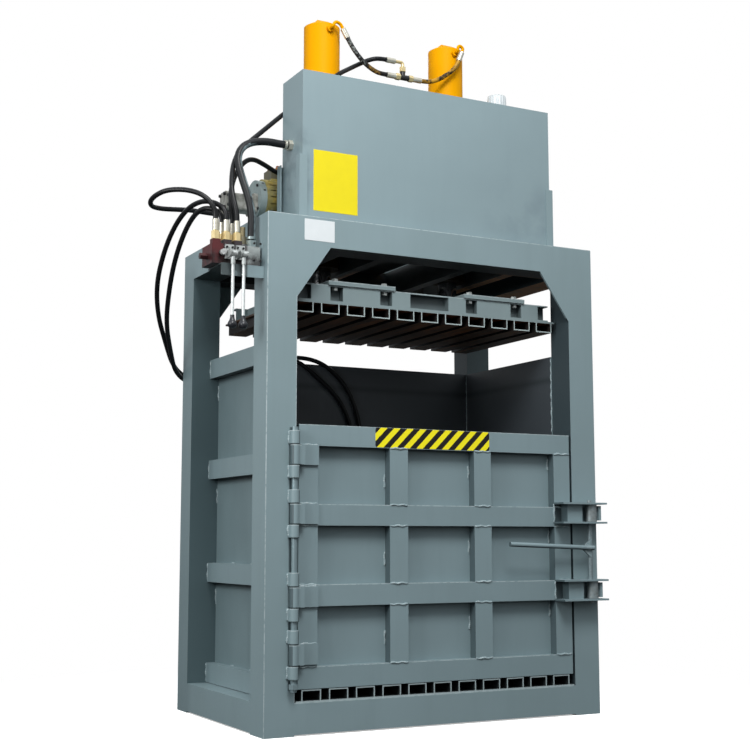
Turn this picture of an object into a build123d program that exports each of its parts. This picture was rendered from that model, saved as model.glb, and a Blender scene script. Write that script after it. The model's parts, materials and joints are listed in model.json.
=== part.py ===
from build123d import *
import math
import os

os.makedirs("parts", exist_ok=True)

# A vertical recycling baler with two press cylinders. Millimetres, +Z up.
# X runs across the front, Y runs back from the front face, Z runs up from the floor.

# Frame
WIDTH = 1600.0
DEPTH = 1000.0
FRAME_HEIGHT = 2075.0
COLUMN_WIDTH = 130.0
FRONT_COLUMN_DEPTH = 138.0
REAR_COLUMN_DEPTH = 125.0
FRAME_WALL = 8.0
TOP_BEAM_HEIGHT = 124.0
SILL_TOP = 127.0
SILL_BOTTOM = 6.0
SIDE_RAIL_WIDTH = 100.0
GUSSET_WIDTH = 150.0
GUSSET_HEIGHT = 216.0
GUSSET_THICKNESS = 10.0

# Channel section used for the door, the wall bars, the floor and the platen
CHANNEL_WIDTH = 85.0
CHANNEL_DEPTH = 43.0
CHANNEL_WALL = 5.0

# Chamber
SHEET = 5.0
OPENING_TO_TOP = 485.0
WALL_BAR_FOOT = 172.0
WALL_BAR_DROP = 56.0
WALL_BAR_SHARES = (0, 0.324, 0.662, 1)
FLOOR_PLATE = 6.0
FLOOR_FRONT = 2.0
FLOOR_BEARER_WIDTH = 80.0
FLOOR_BEARER_PITCH = 200.0
FLOOR_SIDE_GAP = 25.0
GROOVE_CHANNELS = 11

# Door
DOOR_SIDE_GAP = 12.0
DOOR_FOOT_RAIL = 221.0
DOOR_HEAD_DROP = 899.0
DOOR_RAILS = 4
DOOR_STILE_INSET = 42.0
DOOR_MIDDLE_STILE = 204.0

# Door hinge
HINGE_SIDE = 14.0
HINGE_Y = -20.0
HINGE_PIN_OVERHANG = 14.5
HINGE_PIN_DROP = 6.5
KNUCKLE_RADIUS = 19.0
PIN_RADIUS = 12.5
PIN_CLEARANCE = 0.08
KNUCKLE_GAP = 1.0
FIXED_KNUCKLE_SHARE = 0.052
LEAF_KNUCKLE_SHARE = 0.077
HINGE_SHARES = (0.1293, 0.3431, 0.656, 0.8813)
HINGE_NUT_RADIUS = 20.0
HINGE_NUT_HEIGHT = 20.0
HINGE_NUT_RISE = 10.0
FOOT_WIDTH = 31.0
LEAF_THICKNESS = 10.0
LEAF_WIDTH = 84.0
LEAF_NECK = 15.0

# Door latch
LATCH_UPPER_OFFSET = 16.5
LATCH_OVERHANG = 6.0
LATCH_REACH = 236.0
LATCH_BLOCK_INSET = 40.0
LATCH_SHAFT_SIDE = 66.0
HANDLE_OFFSET = 15.0
LATCH_HEIGHT = 92.0
LATCH_PLATE = 8.0
LATCH_FRONT = -74.0
LATCH_COLUMN_GAP = 3.0
LATCH_BLOCK_WIDTH = 80.0
LATCH_BLOCK_FRONT = -48.0
LATCH_SHAFT_CLEARANCE = 0.08
LATCH_SHAFT_OVERHANG = 10.0
LATCH_SHAFT_Y = -38.0
LATCH_SHAFT_RADIUS = 10.0
ECCENTRIC_RADIUS = 25.0
ECCENTRIC_OFFSET = 9.0
ECCENTRIC_END_GAP = 1.0
KEEPER_THICKNESS = 12.0
KEEPER_DEPTH = 60.0
KEEPER_END_GAP = 6.0
KEEPER_GAP = 1.0
HANDLE_RADIUS = 10.0
HANDLE_LENGTH = 440.0
HANDLE_OVERHANG = 9.0
HANDLE_SETBACK = 14.0
HANDLE_GUSSET_THICKNESS = 8.0
HANDLE_RISE = 17.0
HANDLE_GUSSET = 44.0

# Press cylinders
CYLINDER_SHARE = 331.0 / 670.0
BARREL_SINK = 85.0
BARREL_LENGTH = 1110.0
BARREL_RADIUS = 83.0
BORE_RADIUS = 70.0
CAP_RISE = 14.0
CAP_SEAT = 40.0
PISTON_LENGTH = 70.0
PISTON_GAP = 0.3
ROD_RADIUS = 45.0
GLAND_LENGTH = 60.0
GLAND_GAP = 0.08
FLANGE_SIZE = 250.0
FLANGE_THICKNESS = 30.0
CYLINDER_BEAM_WIDTH = 50.0
CYLINDER_BEAM_OFFSET = 110.0
DECK_PLATE = 10.0
DECK_SLOT_WIDTH = 20.0
CAP_LIP = 4.0
CAP_CROWN_RADIUS = 66.0
PISTON_END_GAP = 6.0
ROD_SPIGOT_RADIUS = 30.0
GLAND_COLLAR = 22.0
FLANGE_BOLT_INSET = 30.0
FLANGE_BOLT_RADIUS = 14.0
FLANGE_BOLT_HEAD = 12.0
PORT_DROP = 24.0
LOWER_PORT_RISE = 45.0
PORT_BOSS_RADIUS = 16.0
PORT_BOSS_RISE = 14.0
LUG_WIDTH = 84.0
LUG_HEIGHT = 24.0
LUG_DEPTH = 30.0
ELBOW_OUT = 20.0
LUG_WALL = 7.0
LUG_ANGLE = 62.0

# Platen
PLATEN_DROP = 383.0
PLATEN_SIDE_GAP = 9.0
PLATEN_FRONT = 91.0
PLATEN_REAR_GAP = 39.0
PLATEN_BEAM_INSET = 35.0
PLATEN_PLATE = 8.0
PLATEN_BEAM_HEIGHT = 72.0
PLATEN_BEAM_DEPTH = 43.0
PLATEN_BEAM_WALL = 6.0
STIFFENER_WIDTH = 88.0
STIFFENER_OUTER = 147.0
ROD_PLATE_WIDTH = 316.0
ROD_PLATE_THICKNESS = 18.0
ROD_PLATE_OVERHANG = 8.0
ROD_BOLT_X = 117.5
ROD_BOLT_INSET = 20.0
ROD_BOLT_RADIUS = 8.0
ROD_BOLT_HEAD = 13.0
ROD_BOLT_HEX = 13.8

# Oil tank
TANK_INSET = 48.0
TANK_HEIGHT = 645.0
TANK_FRONT = 64.0
TANK_DEPTH = 208.0
TANK_WALL = 4.0
UPRIGHT_LEG = 35.0
UPRIGHT_WALL = 5.0
UPRIGHT_HEIGHT = 277.0
UPRIGHT_REAR_GAP = 16.0
UPRIGHT_SIDE_GAP = 10.0
BREATHER_INSET = 186.0
BREATHER_Y = 210.0
BREATHER_RADIUS = 42.0
BREATHER_NECK_RADIUS = 26.0
BREATHER_NECK = 24.0
BREATHER_HEIGHT = 66.0
RETURN_PORT_RISE = 343.0
RETURN_PORT_Y = 177.0

# Motor and gear pump
MOTOR_FORWARD = 70.0
MOTOR_RISE = 156.0
MOTOR_GAP = 30.0
MOTOR_RADIUS = 96.0
BELL_LENGTH = 30.0
BELL_RADIUS = 88.0
BELL_WALL = 10.0
MOTOR_LENGTH = 160.0
MOTOR_SHIELD = 14.0
MOTOR_SKIN = 10.0
STATOR_THICKNESS = 26.0
ROTOR_GAP = 1.0
ROTOR_END_GAP = 8.0
SHAFT_CLEARANCE = 0.08
FAN_COVER_LENGTH = 56.0
FAN_COVER_WALL = 3.0
FAN_RADIUS = 78.0
FAN_THICKNESS = 16.0
FAN_GAP = 12.0
GRILLE_SLOTS = 10
GRILLE_SLOT_LENGTH = 60.0
GRILLE_SLOT_WIDTH = 9.0
MOTOR_SHAFT_RADIUS = 14.0
COUPLING_RADIUS = 30.0
COUPLING_LENGTH = 12.0
COUPLING_GAP = 3.0
MOTOR_FINS = 20
FIN_DEPTH = 6.0
FIN_WIDTH = 5.0
FOOT_LENGTH = 120.0
FOOT_SPREAD = 160.0
FOOT_PLATE = 12.0
FOOT_WEB = 12.0
FOOT_WEB_SPREAD = 110.0
TERMINAL_BOX_LENGTH = 90.0
TERMINAL_BOX_WIDTH = 84.0
TERMINAL_BOX_HEIGHT = 46.0
PUMP_FLANGE_THICKNESS = 15.0
PUMP_DROP = 22.0
PUMP_FLANGE_WIDTH = 104.0
PUMP_FLANGE_HEIGHT = 87.0
PUMP_LENGTH = 126.0
PUMP_WIDTH = 80.0
PUMP_HEIGHT = 84.0
PUMP_CORNER = 14.0
PUMP_COVER = 17.0
PUMP_BOLT_X = 27.0
PUMP_BOLT_Z = 29.0
PUMP_BOLT_RADIUS = 7.0
PUMP_BOLT_HEAD = 9.0

# Control valve, on the side of the left front column
SPARE_PORT_SIDE = 53.0
OUTLET_SIDE = 34.0
FIRST_SPOOL_SIDE = 143.0
INLET_SIDE = 189.0
VALVE_SIDE = 8.0
VALVE_LENGTH = 206.0
RELIEF_REACH = 32.0
SHELF_DROP = 222.0
SHELF_REACH = 183.0
SPOOL_PITCH = 46.0
VALVE_FRONT = 60.0
VALVE_DEPTH = 120.0
VALVE_HEIGHT = 82.0
SHELF_THICKNESS = 6.0
SHELF_FRONT = 40.0
SHELF_REAR = 190.0
SHELF_LIP = 49.0
VALVE_JOINT = 3.0
RELIEF_RADIUS = 13.0
ADJUSTER_SIDE = 13.0
ADJUSTER_RISE = 7.0
ADJUSTER_RADIUS = 12.0
ADJUSTER_LENGTH = 30.0
SPOOL_CAP_RADIUS = 14.0
SPOOL_CAP_LENGTH = 34.0
FRONT_PORT_Y = 95.0
REAR_PORT_Y = 145.0
PORT_BOSS_HEIGHT = 22.0
PORT_BOSS_SIDE = 34.0
NUT_RADIUS = 18.0
NUT_HEIGHT = 33.0
RING_RADIUS = 11.0
RING_HEIGHT = 4.0
LEVER_PIVOT_Y = 16.0
LEVER_PIVOT_RISE = 35.0
LEVER_SOCKET_DROP = 42.0
LEVER_ROD_DROP = 258.0
LEVER_PIN_RADIUS = 5.0
LEVER_BOSS_RADIUS = 15.0
LEVER_BOSS_WIDTH = 20.0
LEVER_EAR = 5.0
LEVER_EAR_GAP = 0.5
LEVER_EAR_HALF = 15.0
LEVER_BASE = 6.0
LEVER_BASE_WIDTH = 38.0
LEVER_PIN_CLEARANCE = 0.06
LEVER_SOCKET_RADIUS = 9.0
LEVER_ROD_RADIUS = 6.5
KNOB_RADIUS = 18.5
KNOB_LENGTH = 54.0
KNOB_NECK_RADIUS = 8.5
KNOB_GRIP = 10.0

# Hoses
HOSE_RADIUS = 10.5
RETURN_HOSE_RADIUS = 16.0
FERRULE_RADIUS = 12.8
FERRULE_LENGTH = 46.0
PIPE_RADIUS = 7.5
TEE_RADIUS = 13.0
TEE_LEFT = 24.0
TEE_RIGHT = 70.0
TEE_BRANCH_X = 40.0
TEE_FORWARD = 100.0
TEE_DROP = 199.0
TEE_BRANCH = 27.0
TEE_NUT = 22.0
TEE_NUT_RADIUS = 16.0
LOWER_BLOCK = 26.0
RETURN_HEX_RADIUS = 23.0
RETURN_HEX = 30.0
TANK_HEX = 18.0
CLAMP_RADIUS = 19.5
CLAMP_WIDTH = 10.0
CLAMP_GAP = 6.0
SPARE_PLUG = 40.0
SPARE_PLUG_RADIUS = 12.0
PUMP_PORT_REACH = 110.0
PUMP_PORT_DROP = 81.0
PUMP_PORT_RADIUS = 14.0
BULKHEAD_LEFT = 10.0
BULKHEAD_RIGHT = 94.0
BULKHEAD_DEPTH = 26.0
BULKHEAD_HEIGHT = 34.0

# Places that follow from the frame
INNER_X = WIDTH / 2 - COLUMN_WIDTH
REAR_FACE_Y = DEPTH - REAR_COLUMN_DEPTH
TOP_BEAM_BOTTOM = FRAME_HEIGHT - TOP_BEAM_HEIGHT
DECK_TOP = FRAME_HEIGHT
CHAMBER_HALF = INNER_X - SHEET
WALL_TOP = FRAME_HEIGHT - OPENING_TO_TOP
WALL_BAR_SPAN = WALL_TOP - WALL_BAR_DROP - WALL_BAR_FOOT
WALL_BAR_LEVELS = [WALL_BAR_FOOT + share * WALL_BAR_SPAN for share in WALL_BAR_SHARES]
FLOOR_BEARER_YS = [DEPTH / 2 + i * FLOOR_BEARER_PITCH for i in (-1, 0, 1)]
GROOVE_PITCH = (2 * (CHAMBER_HALF - FLOOR_SIDE_GAP) - CHANNEL_WIDTH) / (GROOVE_CHANNELS - 1)

# Door, hinge and latch
DOOR_HALF_WIDTH = INNER_X - DOOR_SIDE_GAP
DOOR_RAIL_PITCH = (FRAME_HEIGHT - DOOR_HEAD_DROP - DOOR_FOOT_RAIL) / (DOOR_RAILS - 1)
DOOR_RAIL_LEVELS = [DOOR_FOOT_RAIL + i * DOOR_RAIL_PITCH for i in range(DOOR_RAILS)]
DOOR_BOTTOM = DOOR_RAIL_LEVELS[0] - CHANNEL_WIDTH / 2
DOOR_TOP = DOOR_RAIL_LEVELS[-1] + CHANNEL_WIDTH / 2
DOOR_OUTER_STILE = DOOR_HALF_WIDTH - DOOR_STILE_INSET
DOOR_STILE_XS = (-DOOR_OUTER_STILE, -DOOR_MIDDLE_STILE, DOOR_MIDDLE_STILE, DOOR_OUTER_STILE)
HINGE_X = -INNER_X - HINGE_SIDE
DOOR_HEIGHT = DOOR_TOP - DOOR_BOTTOM
HINGE_LEVELS = [DOOR_BOTTOM + share * DOOR_HEIGHT for share in HINGE_SHARES]
FIXED_KNUCKLE = FIXED_KNUCKLE_SHARE * DOOR_HEIGHT
LEAF_KNUCKLE = LEAF_KNUCKLE_SHARE * DOOR_HEIGHT
HINGE_PIN_TOP = DOOR_TOP - HINGE_PIN_OVERHANG
HINGE_PIN_BOTTOM = DOOR_BOTTOM - HINGE_PIN_DROP
LATCH_LEVELS = (DOOR_RAIL_LEVELS[1], DOOR_RAIL_LEVELS[2] + LATCH_UPPER_OFFSET)
HANDLE_LEVEL = (LATCH_LEVELS[0] + LATCH_LEVELS[1]) / 2 + HANDLE_OFFSET
LATCH_RIGHT = WIDTH / 2 + LATCH_OVERHANG
LATCH_LEFT = LATCH_RIGHT - LATCH_REACH
LATCH_BLOCK_LEFT = LATCH_LEFT + LATCH_BLOCK_INSET
LATCH_SHAFT_X = INNER_X + LATCH_SHAFT_SIDE

# Press
CYLINDER_X = INNER_X * CYLINDER_SHARE
CYLINDER_Y = DEPTH / 2
BARREL_BOTTOM = FRAME_HEIGHT - BARREL_SINK
BARREL_TOP = BARREL_BOTTOM + BARREL_LENGTH
PLATEN_BOTTOM = FRAME_HEIGHT - PLATEN_DROP
PLATEN_HALF_WIDTH = CHAMBER_HALF - PLATEN_SIDE_GAP
PLATEN_REAR = REAR_FACE_Y - PLATEN_REAR_GAP
PLATEN_BEAM_HALF = PLATEN_HALF_WIDTH - PLATEN_BEAM_INSET
PLATEN_PLATE_BOTTOM = PLATEN_BOTTOM + CHANNEL_DEPTH
PLATEN_BEAM_BOTTOM = PLATEN_PLATE_BOTTOM + PLATEN_PLATE
PLATEN_BEAM_TOP = PLATEN_BEAM_BOTTOM + PLATEN_BEAM_HEIGHT
ROD_PLATE_TOP = PLATEN_BEAM_TOP + ROD_PLATE_THICKNESS

# Tank, motor and valve
TANK_HALF_WIDTH = INNER_X - TANK_INSET
TANK_TOP = DECK_TOP + TANK_HEIGHT
UPRIGHT_TOP = DECK_TOP + UPRIGHT_HEIGHT
BREATHER_X = TANK_HALF_WIDTH - BREATHER_INSET
RETURN_PORT_LEVEL = DECK_TOP + RETURN_PORT_RISE
MOTOR_Y = CYLINDER_Y - MOTOR_FORWARD
MOTOR_LEVEL = DECK_TOP + MOTOR_RISE
FAN_LEFT = -CYLINDER_X - BARREL_RADIUS - MOTOR_GAP - FAN_COVER_LENGTH
MOTOR_LEFT = FAN_LEFT - MOTOR_LENGTH
BELL_LEFT = MOTOR_LEFT - BELL_LENGTH
PUMP_PORT_X = BELL_LEFT - PUMP_PORT_REACH
PUMP_PORT_Z = MOTOR_LEVEL - PUMP_PORT_DROP
INLET_X = -WIDTH / 2 - INLET_SIDE
OUTLET_X = -WIDTH / 2 - OUTLET_SIDE
ADJUSTER_X = INLET_X + ADJUSTER_SIDE
SPARE_PORT_X = -WIDTH / 2 - SPARE_PORT_SIDE
FIRST_SPOOL_X = -WIDTH / 2 - FIRST_SPOOL_SIDE
SPOOL_XS = (FIRST_SPOOL_X, FIRST_SPOOL_X + SPOOL_PITCH)
VALVE_RIGHT = -WIDTH / 2 - VALVE_SIDE
VALVE_LEFT = VALVE_RIGHT - VALVE_LENGTH
SHELF_TOP = FRAME_HEIGHT - SHELF_DROP
SHELF_LEFT = -WIDTH / 2 - SHELF_REACH
VALVE_TOP = SHELF_TOP + VALVE_HEIGHT
LEVER_PIVOT_Z = SHELF_TOP + LEVER_PIVOT_RISE
LEVER_SOCKET_BOTTOM = LEVER_PIVOT_Z - LEVER_SOCKET_DROP
LEVER_ROD_BOTTOM = LEVER_PIVOT_Z - LEVER_ROD_DROP
TEE_Y = CYLINDER_Y - TEE_FORWARD
TEE_Z = BARREL_TOP - TEE_DROP

# The pieces that stand out furthest place the origin
REACH_LEFT = -VALVE_LEFT + RELIEF_REACH
REACH_RIGHT = LATCH_RIGHT
REACH_FRONT = -LATCH_FRONT
MID_X = (REACH_LEFT - REACH_RIGHT) / 2
FRONT_Y = (REACH_FRONT - DEPTH) / 2

# Datum planes, all set from the middle of the frame's front edge on the floor
def plan(z):
    return Plane(origin=(MID_X, FRONT_Y, z), x_dir=(1, 0, 0), z_dir=(0, 0, 1))


def upright(y):
    return Plane(origin=(MID_X, FRONT_Y + y, 0), x_dir=(1, 0, 0), z_dir=(0, -1, 0))


def side(x):
    return Plane(origin=(MID_X + x, FRONT_Y, 0), x_dir=(0, 1, 0), z_dir=(1, 0, 0))


# Sections drawn inside a sketch
def tube_section(width, height, wall):
    Rectangle(width, height)
    Rectangle(width - 2 * wall, height - 2 * wall, mode=Mode.SUBTRACT)


def channel_section(width, depth, wall, open_x=0, open_y=0):
    # The open side faces along open_x or open_y, one of which is 1 or -1
    across = (depth, width) if open_x else (width, depth)
    inner = (depth - wall, width - 2 * wall) if open_x else (width - 2 * wall, depth - wall)
    Rectangle(*across)
    with Locations((open_x * wall / 2, open_y * wall / 2)):
        Rectangle(*inner, mode=Mode.SUBTRACT)


def finish(name, piece):
    piece.label = name
    export_step(piece, "parts/" + name + ".step")


# Columns, open at the foot and closed at the top
COLUMN_X = WIDTH / 2 - COLUMN_WIDTH / 2


def column_pair(y, depth):
    with BuildPart() as pair:
        with BuildSketch(plan(0)):
            with Locations((-COLUMN_X, y + depth / 2), (COLUMN_X, y + depth / 2)):
                tube_section(COLUMN_WIDTH, depth, FRAME_WALL)
        extrude(amount=FRAME_HEIGHT)
        with BuildSketch(plan(FRAME_HEIGHT - FRAME_WALL)):
            with Locations((-COLUMN_X, y + depth / 2), (COLUMN_X, y + depth / 2)):
                Rectangle(COLUMN_WIDTH, depth)
        extrude(amount=FRAME_WALL)
    return pair.part


front_columns = column_pair(0, FRONT_COLUMN_DEPTH)
finish("front_columns", front_columns)
rear_columns = column_pair(REAR_FACE_Y, REAR_COLUMN_DEPTH)
finish("rear_columns", rear_columns)

# Top beams between the columns
TOP_BEAM_Z = FRAME_HEIGHT - TOP_BEAM_HEIGHT / 2
SIDE_SPAN = REAR_FACE_Y - FRONT_COLUMN_DEPTH
with BuildPart() as top_beams:
    for y, depth in ((0, FRONT_COLUMN_DEPTH), (REAR_FACE_Y, REAR_COLUMN_DEPTH)):
        with BuildSketch(side(-INNER_X)):
            with Locations((y + depth / 2, TOP_BEAM_Z)):
                tube_section(depth, TOP_BEAM_HEIGHT, FRAME_WALL)
        extrude(amount=2 * INNER_X)
    for x in (-COLUMN_X, COLUMN_X):
        with BuildSketch(upright(REAR_FACE_Y)):
            with Locations((x, TOP_BEAM_Z)):
                tube_section(COLUMN_WIDTH, TOP_BEAM_HEIGHT, FRAME_WALL)
        extrude(amount=SIDE_SPAN)
finish("top_beams", top_beams.part)

# Gusset plates in the four upper corners of the front and rear frames
with BuildPart() as corner_gussets:
    for y in (GUSSET_THICKNESS, DEPTH):
        for hand in (-1, 1):
            with BuildSketch(upright(y)):
                with BuildLine():
                    Polyline(
                        (hand * INNER_X, TOP_BEAM_BOTTOM),
                        (hand * (INNER_X - GUSSET_WIDTH), TOP_BEAM_BOTTOM),
                        (hand * INNER_X, TOP_BEAM_BOTTOM - GUSSET_HEIGHT),
                        close=True,
                    )
                make_face()
            extrude(amount=GUSSET_THICKNESS)
finish("corner_gussets", corner_gussets.part)

# Base: front and rear sills, two side rails between them and bearers under the floor
SILL_HEIGHT = SILL_TOP - SILL_BOTTOM
SILL_Z = (SILL_TOP + SILL_BOTTOM) / 2
SIDE_RAIL_X = WIDTH / 2 - SIDE_RAIL_WIDTH / 2
BEARER_HALF = WIDTH / 2 - SIDE_RAIL_WIDTH
with BuildPart() as side_rails:
    for y, depth in ((0, FRONT_COLUMN_DEPTH), (REAR_FACE_Y, REAR_COLUMN_DEPTH)):
        with BuildSketch(side(-INNER_X)):
            with Locations((y + depth / 2, SILL_Z)):
                tube_section(depth, SILL_HEIGHT, FRAME_WALL)
        extrude(amount=2 * INNER_X)
    for x in (-SIDE_RAIL_X, SIDE_RAIL_X):
        with BuildSketch(upright(REAR_FACE_Y)):
            with Locations((x, SILL_Z)):
                tube_section(SIDE_RAIL_WIDTH, SILL_HEIGHT, FRAME_WALL)
        extrude(amount=SIDE_SPAN)
with BuildPart() as floor_bearers:
    for y in FLOOR_BEARER_YS:
        with BuildSketch(side(-BEARER_HALF)):
            with Locations((y, SILL_Z)):
                tube_section(FLOOR_BEARER_WIDTH, SILL_HEIGHT, FRAME_WALL)
        extrude(amount=2 * BEARER_HALF)
base_rails = side_rails.part.solids() + floor_bearers.part.solids()
finish("base_rails", Compound(children=base_rails))

# Floor plate on the sills and bearers
with BuildPart() as floor_plate:
    with BuildSketch(plan(SILL_TOP)):
        with Locations((0, (FLOOR_FRONT + REAR_FACE_Y) / 2)):
            Rectangle(2 * CHAMBER_HALF, REAR_FACE_Y - FLOOR_FRONT)
    extrude(amount=FLOOR_PLATE)
finish("floor_plate", floor_plate.part)

# Floor channels, open side down, with strapping grooves between them
GROOVE_XS = [(i - (GROOVE_CHANNELS - 1) / 2) * GROOVE_PITCH for i in range(GROOVE_CHANNELS)]
with BuildPart() as floor_channels:
    with BuildSketch(upright(REAR_FACE_Y)):
        with Locations([(x, SILL_TOP + FLOOR_PLATE + CHANNEL_DEPTH / 2) for x in GROOVE_XS]):
            channel_section(CHANNEL_WIDTH, CHANNEL_DEPTH, CHANNEL_WALL, open_y=-1)
    extrude(amount=REAR_FACE_Y - FLOOR_FRONT)
finish("floor_channels", floor_channels.part)

# Chamber walls: two side sheets and the rear sheet
with BuildPart() as chamber_walls:
    for x in (-INNER_X, CHAMBER_HALF):
        with BuildSketch(side(x)):
            with Locations(((FRONT_COLUMN_DEPTH + REAR_FACE_Y) / 2, (SILL_TOP + WALL_TOP) / 2)):
                Rectangle(SIDE_SPAN, WALL_TOP - SILL_TOP)
        extrude(amount=SHEET)
    with BuildSketch(upright(REAR_FACE_Y + SHEET)):
        with Locations((0, (SILL_TOP + WALL_TOP) / 2)):
            Rectangle(2 * INNER_X, WALL_TOP - SILL_TOP)
    extrude(amount=SHEET)
finish("chamber_walls", chamber_walls.part)

# Channel bars across the outside of the three walls
BAR_X = INNER_X + CHANNEL_DEPTH / 2
BAR_Y = REAR_FACE_Y + SHEET + CHANNEL_DEPTH / 2
with BuildPart() as wall_bars:
    for hand in (-1, 1):
        with BuildSketch(upright(REAR_FACE_Y)):
            with Locations([(hand * BAR_X, z) for z in WALL_BAR_LEVELS]):
                channel_section(CHANNEL_WIDTH, CHANNEL_DEPTH, CHANNEL_WALL, open_x=-hand)
        extrude(amount=SIDE_SPAN)
    with BuildSketch(side(-INNER_X)):
        with Locations([(BAR_Y, z) for z in WALL_BAR_LEVELS]):
            channel_section(CHANNEL_WIDTH, CHANNEL_DEPTH, CHANNEL_WALL, open_x=-1)
    extrude(amount=2 * INNER_X)
finish("wall_bars", wall_bars.part)

# Beams that carry the cylinders, from the front beam to the rear beam
with BuildPart() as cylinder_beams:
    with BuildSketch(upright(REAR_FACE_Y)):
        for x in (-CYLINDER_X, CYLINDER_X):
            with Locations(
                (x - CYLINDER_BEAM_OFFSET, TOP_BEAM_Z),
                (x + CYLINDER_BEAM_OFFSET, TOP_BEAM_Z),
            ):
                tube_section(CYLINDER_BEAM_WIDTH, TOP_BEAM_HEIGHT, FRAME_WALL)
    extrude(amount=SIDE_SPAN)
finish("cylinder_beams", cylinder_beams.part)

# Deck plates flush with the top of the frame, let in between the beams
OUTER_BEAM = CYLINDER_X + CYLINDER_BEAM_OFFSET + CYLINDER_BEAM_WIDTH / 2
INNER_BEAM = CYLINDER_X - CYLINDER_BEAM_OFFSET - CYLINDER_BEAM_WIDTH / 2
DECK_SPANS = (
    (-INNER_X, -OUTER_BEAM),
    (-INNER_BEAM, INNER_BEAM - DECK_SLOT_WIDTH),
    (OUTER_BEAM, INNER_X),
)
with BuildPart() as deck_plates:
    with BuildSketch(plan(DECK_TOP - DECK_PLATE)):
        for left, right in DECK_SPANS:
            with Locations(((left + right) / 2, (FRONT_COLUMN_DEPTH + REAR_FACE_Y) / 2)):
                Rectangle(right - left, SIDE_SPAN)
    extrude(amount=DECK_PLATE)
finish("deck_plates", deck_plates.part)

# Press cylinders: bored barrels welded into square flanges that stand on the beams
CYLINDERS = ((-CYLINDER_X, CYLINDER_Y), (CYLINDER_X, CYLINDER_Y))
PORT_LEVEL = BARREL_TOP - PORT_DROP
LOWER_PORT_LEVEL = DECK_TOP + FLANGE_THICKNESS + LOWER_PORT_RISE
with BuildPart() as cylinder_barrels:
    with BuildSketch(plan(BARREL_BOTTOM)):
        with Locations(CYLINDERS):
            Circle(BARREL_RADIUS)
            Circle(BORE_RADIUS, mode=Mode.SUBTRACT)
    extrude(amount=BARREL_TOP - BARREL_BOTTOM)
    # Bosses for the upper and lower oil ports, on the front of each barrel
    for level in (PORT_LEVEL, LOWER_PORT_LEVEL):
        with BuildSketch(upright(CYLINDER_Y - (BORE_RADIUS + BARREL_RADIUS) / 2)):
            with Locations((-CYLINDER_X, level), (CYLINDER_X, level)):
                Circle(PORT_BOSS_RADIUS)
        extrude(amount=(BARREL_RADIUS - BORE_RADIUS) / 2 + PORT_BOSS_RISE)
finish("cylinder_barrels", cylinder_barrels.part)

with BuildPart() as cylinder_flanges:
    with BuildSketch(plan(DECK_TOP)):
        with Locations(CYLINDERS):
            Rectangle(FLANGE_SIZE, FLANGE_SIZE)
            Circle(BARREL_RADIUS, mode=Mode.SUBTRACT)
    extrude(amount=FLANGE_THICKNESS)
    # Hexagon heads of the bolts down into the beams
    with BuildSketch(plan(DECK_TOP + FLANGE_THICKNESS)):
        for x, y in CYLINDERS:
            with Locations((x, y)):
                with GridLocations(2 * CYLINDER_BEAM_OFFSET, FLANGE_SIZE - 2 * FLANGE_BOLT_INSET, 2, 2):
                    RegularPolygon(FLANGE_BOLT_RADIUS, 6)
    extrude(amount=FLANGE_BOLT_HEAD)
finish("cylinder_flanges", cylinder_flanges.part)

# Closed cylinder heads with a chamfered shoulder and a lifting bridge
HEAD_TOP = BARREL_TOP + CAP_RISE
with BuildPart() as cylinder_caps:
    for x, y in CYLINDERS:
        with BuildSketch(Plane(origin=(MID_X + x, FRONT_Y + y, 0), x_dir=(1, 0, 0), z_dir=(0, -1, 0))):
            with BuildLine():
                Polyline(
                    (0, BARREL_TOP - CAP_SEAT),
                    (BORE_RADIUS, BARREL_TOP - CAP_SEAT),
                    (BORE_RADIUS, BARREL_TOP),
                    (BARREL_RADIUS, BARREL_TOP),
                    (BARREL_RADIUS, BARREL_TOP + CAP_LIP),
                    (CAP_CROWN_RADIUS, HEAD_TOP),
                    (0, HEAD_TOP),
                    close=True,
                )
            make_face()
        revolve(axis=Axis((MID_X + x, FRONT_Y + y, 0), (0, 0, 1)))
    with BuildSketch(upright(CYLINDER_Y + LUG_DEPTH / 2)):
        with Locations((-CYLINDER_X, HEAD_TOP + LUG_HEIGHT / 2), (CYLINDER_X, HEAD_TOP + LUG_HEIGHT / 2)):
            Trapezoid(LUG_WIDTH, LUG_HEIGHT, LUG_ANGLE)
        with Locations(
            (-CYLINDER_X, HEAD_TOP + (LUG_HEIGHT - LUG_WALL) / 2),
            (CYLINDER_X, HEAD_TOP + (LUG_HEIGHT - LUG_WALL) / 2),
        ):
            Trapezoid(LUG_WIDTH - 3 * LUG_WALL, LUG_HEIGHT - LUG_WALL, LUG_ANGLE, mode=Mode.SUBTRACT)
    extrude(amount=LUG_DEPTH)
finish("cylinder_caps", cylinder_caps.part)

# Glands at the foot of each barrel, bored for the rod
with BuildPart() as cylinder_glands:
    with BuildSketch(plan(BARREL_BOTTOM - GLAND_COLLAR)):
        with Locations(CYLINDERS):
            Circle(BARREL_RADIUS)
            Circle(ROD_RADIUS + GLAND_GAP, mode=Mode.SUBTRACT)
    extrude(amount=GLAND_COLLAR)
    with BuildSketch(plan(BARREL_BOTTOM)):
        with Locations(CYLINDERS):
            Circle(BORE_RADIUS)
            Circle(ROD_RADIUS + GLAND_GAP, mode=Mode.SUBTRACT)
    extrude(amount=GLAND_LENGTH)
finish("cylinder_glands", cylinder_glands.part)

# Pistons and rods, drawn at the top of the stroke
PISTON_TOP = BARREL_TOP - CAP_SEAT - PISTON_END_GAP
PISTON_BOTTOM = PISTON_TOP - PISTON_LENGTH
with BuildPart() as pistons:
    with BuildSketch(plan(PISTON_BOTTOM)):
        with Locations(CYLINDERS):
            Circle(BORE_RADIUS - PISTON_GAP)
            Circle(ROD_SPIGOT_RADIUS, mode=Mode.SUBTRACT)
    extrude(amount=PISTON_LENGTH)
finish("pistons", pistons.part)

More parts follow.
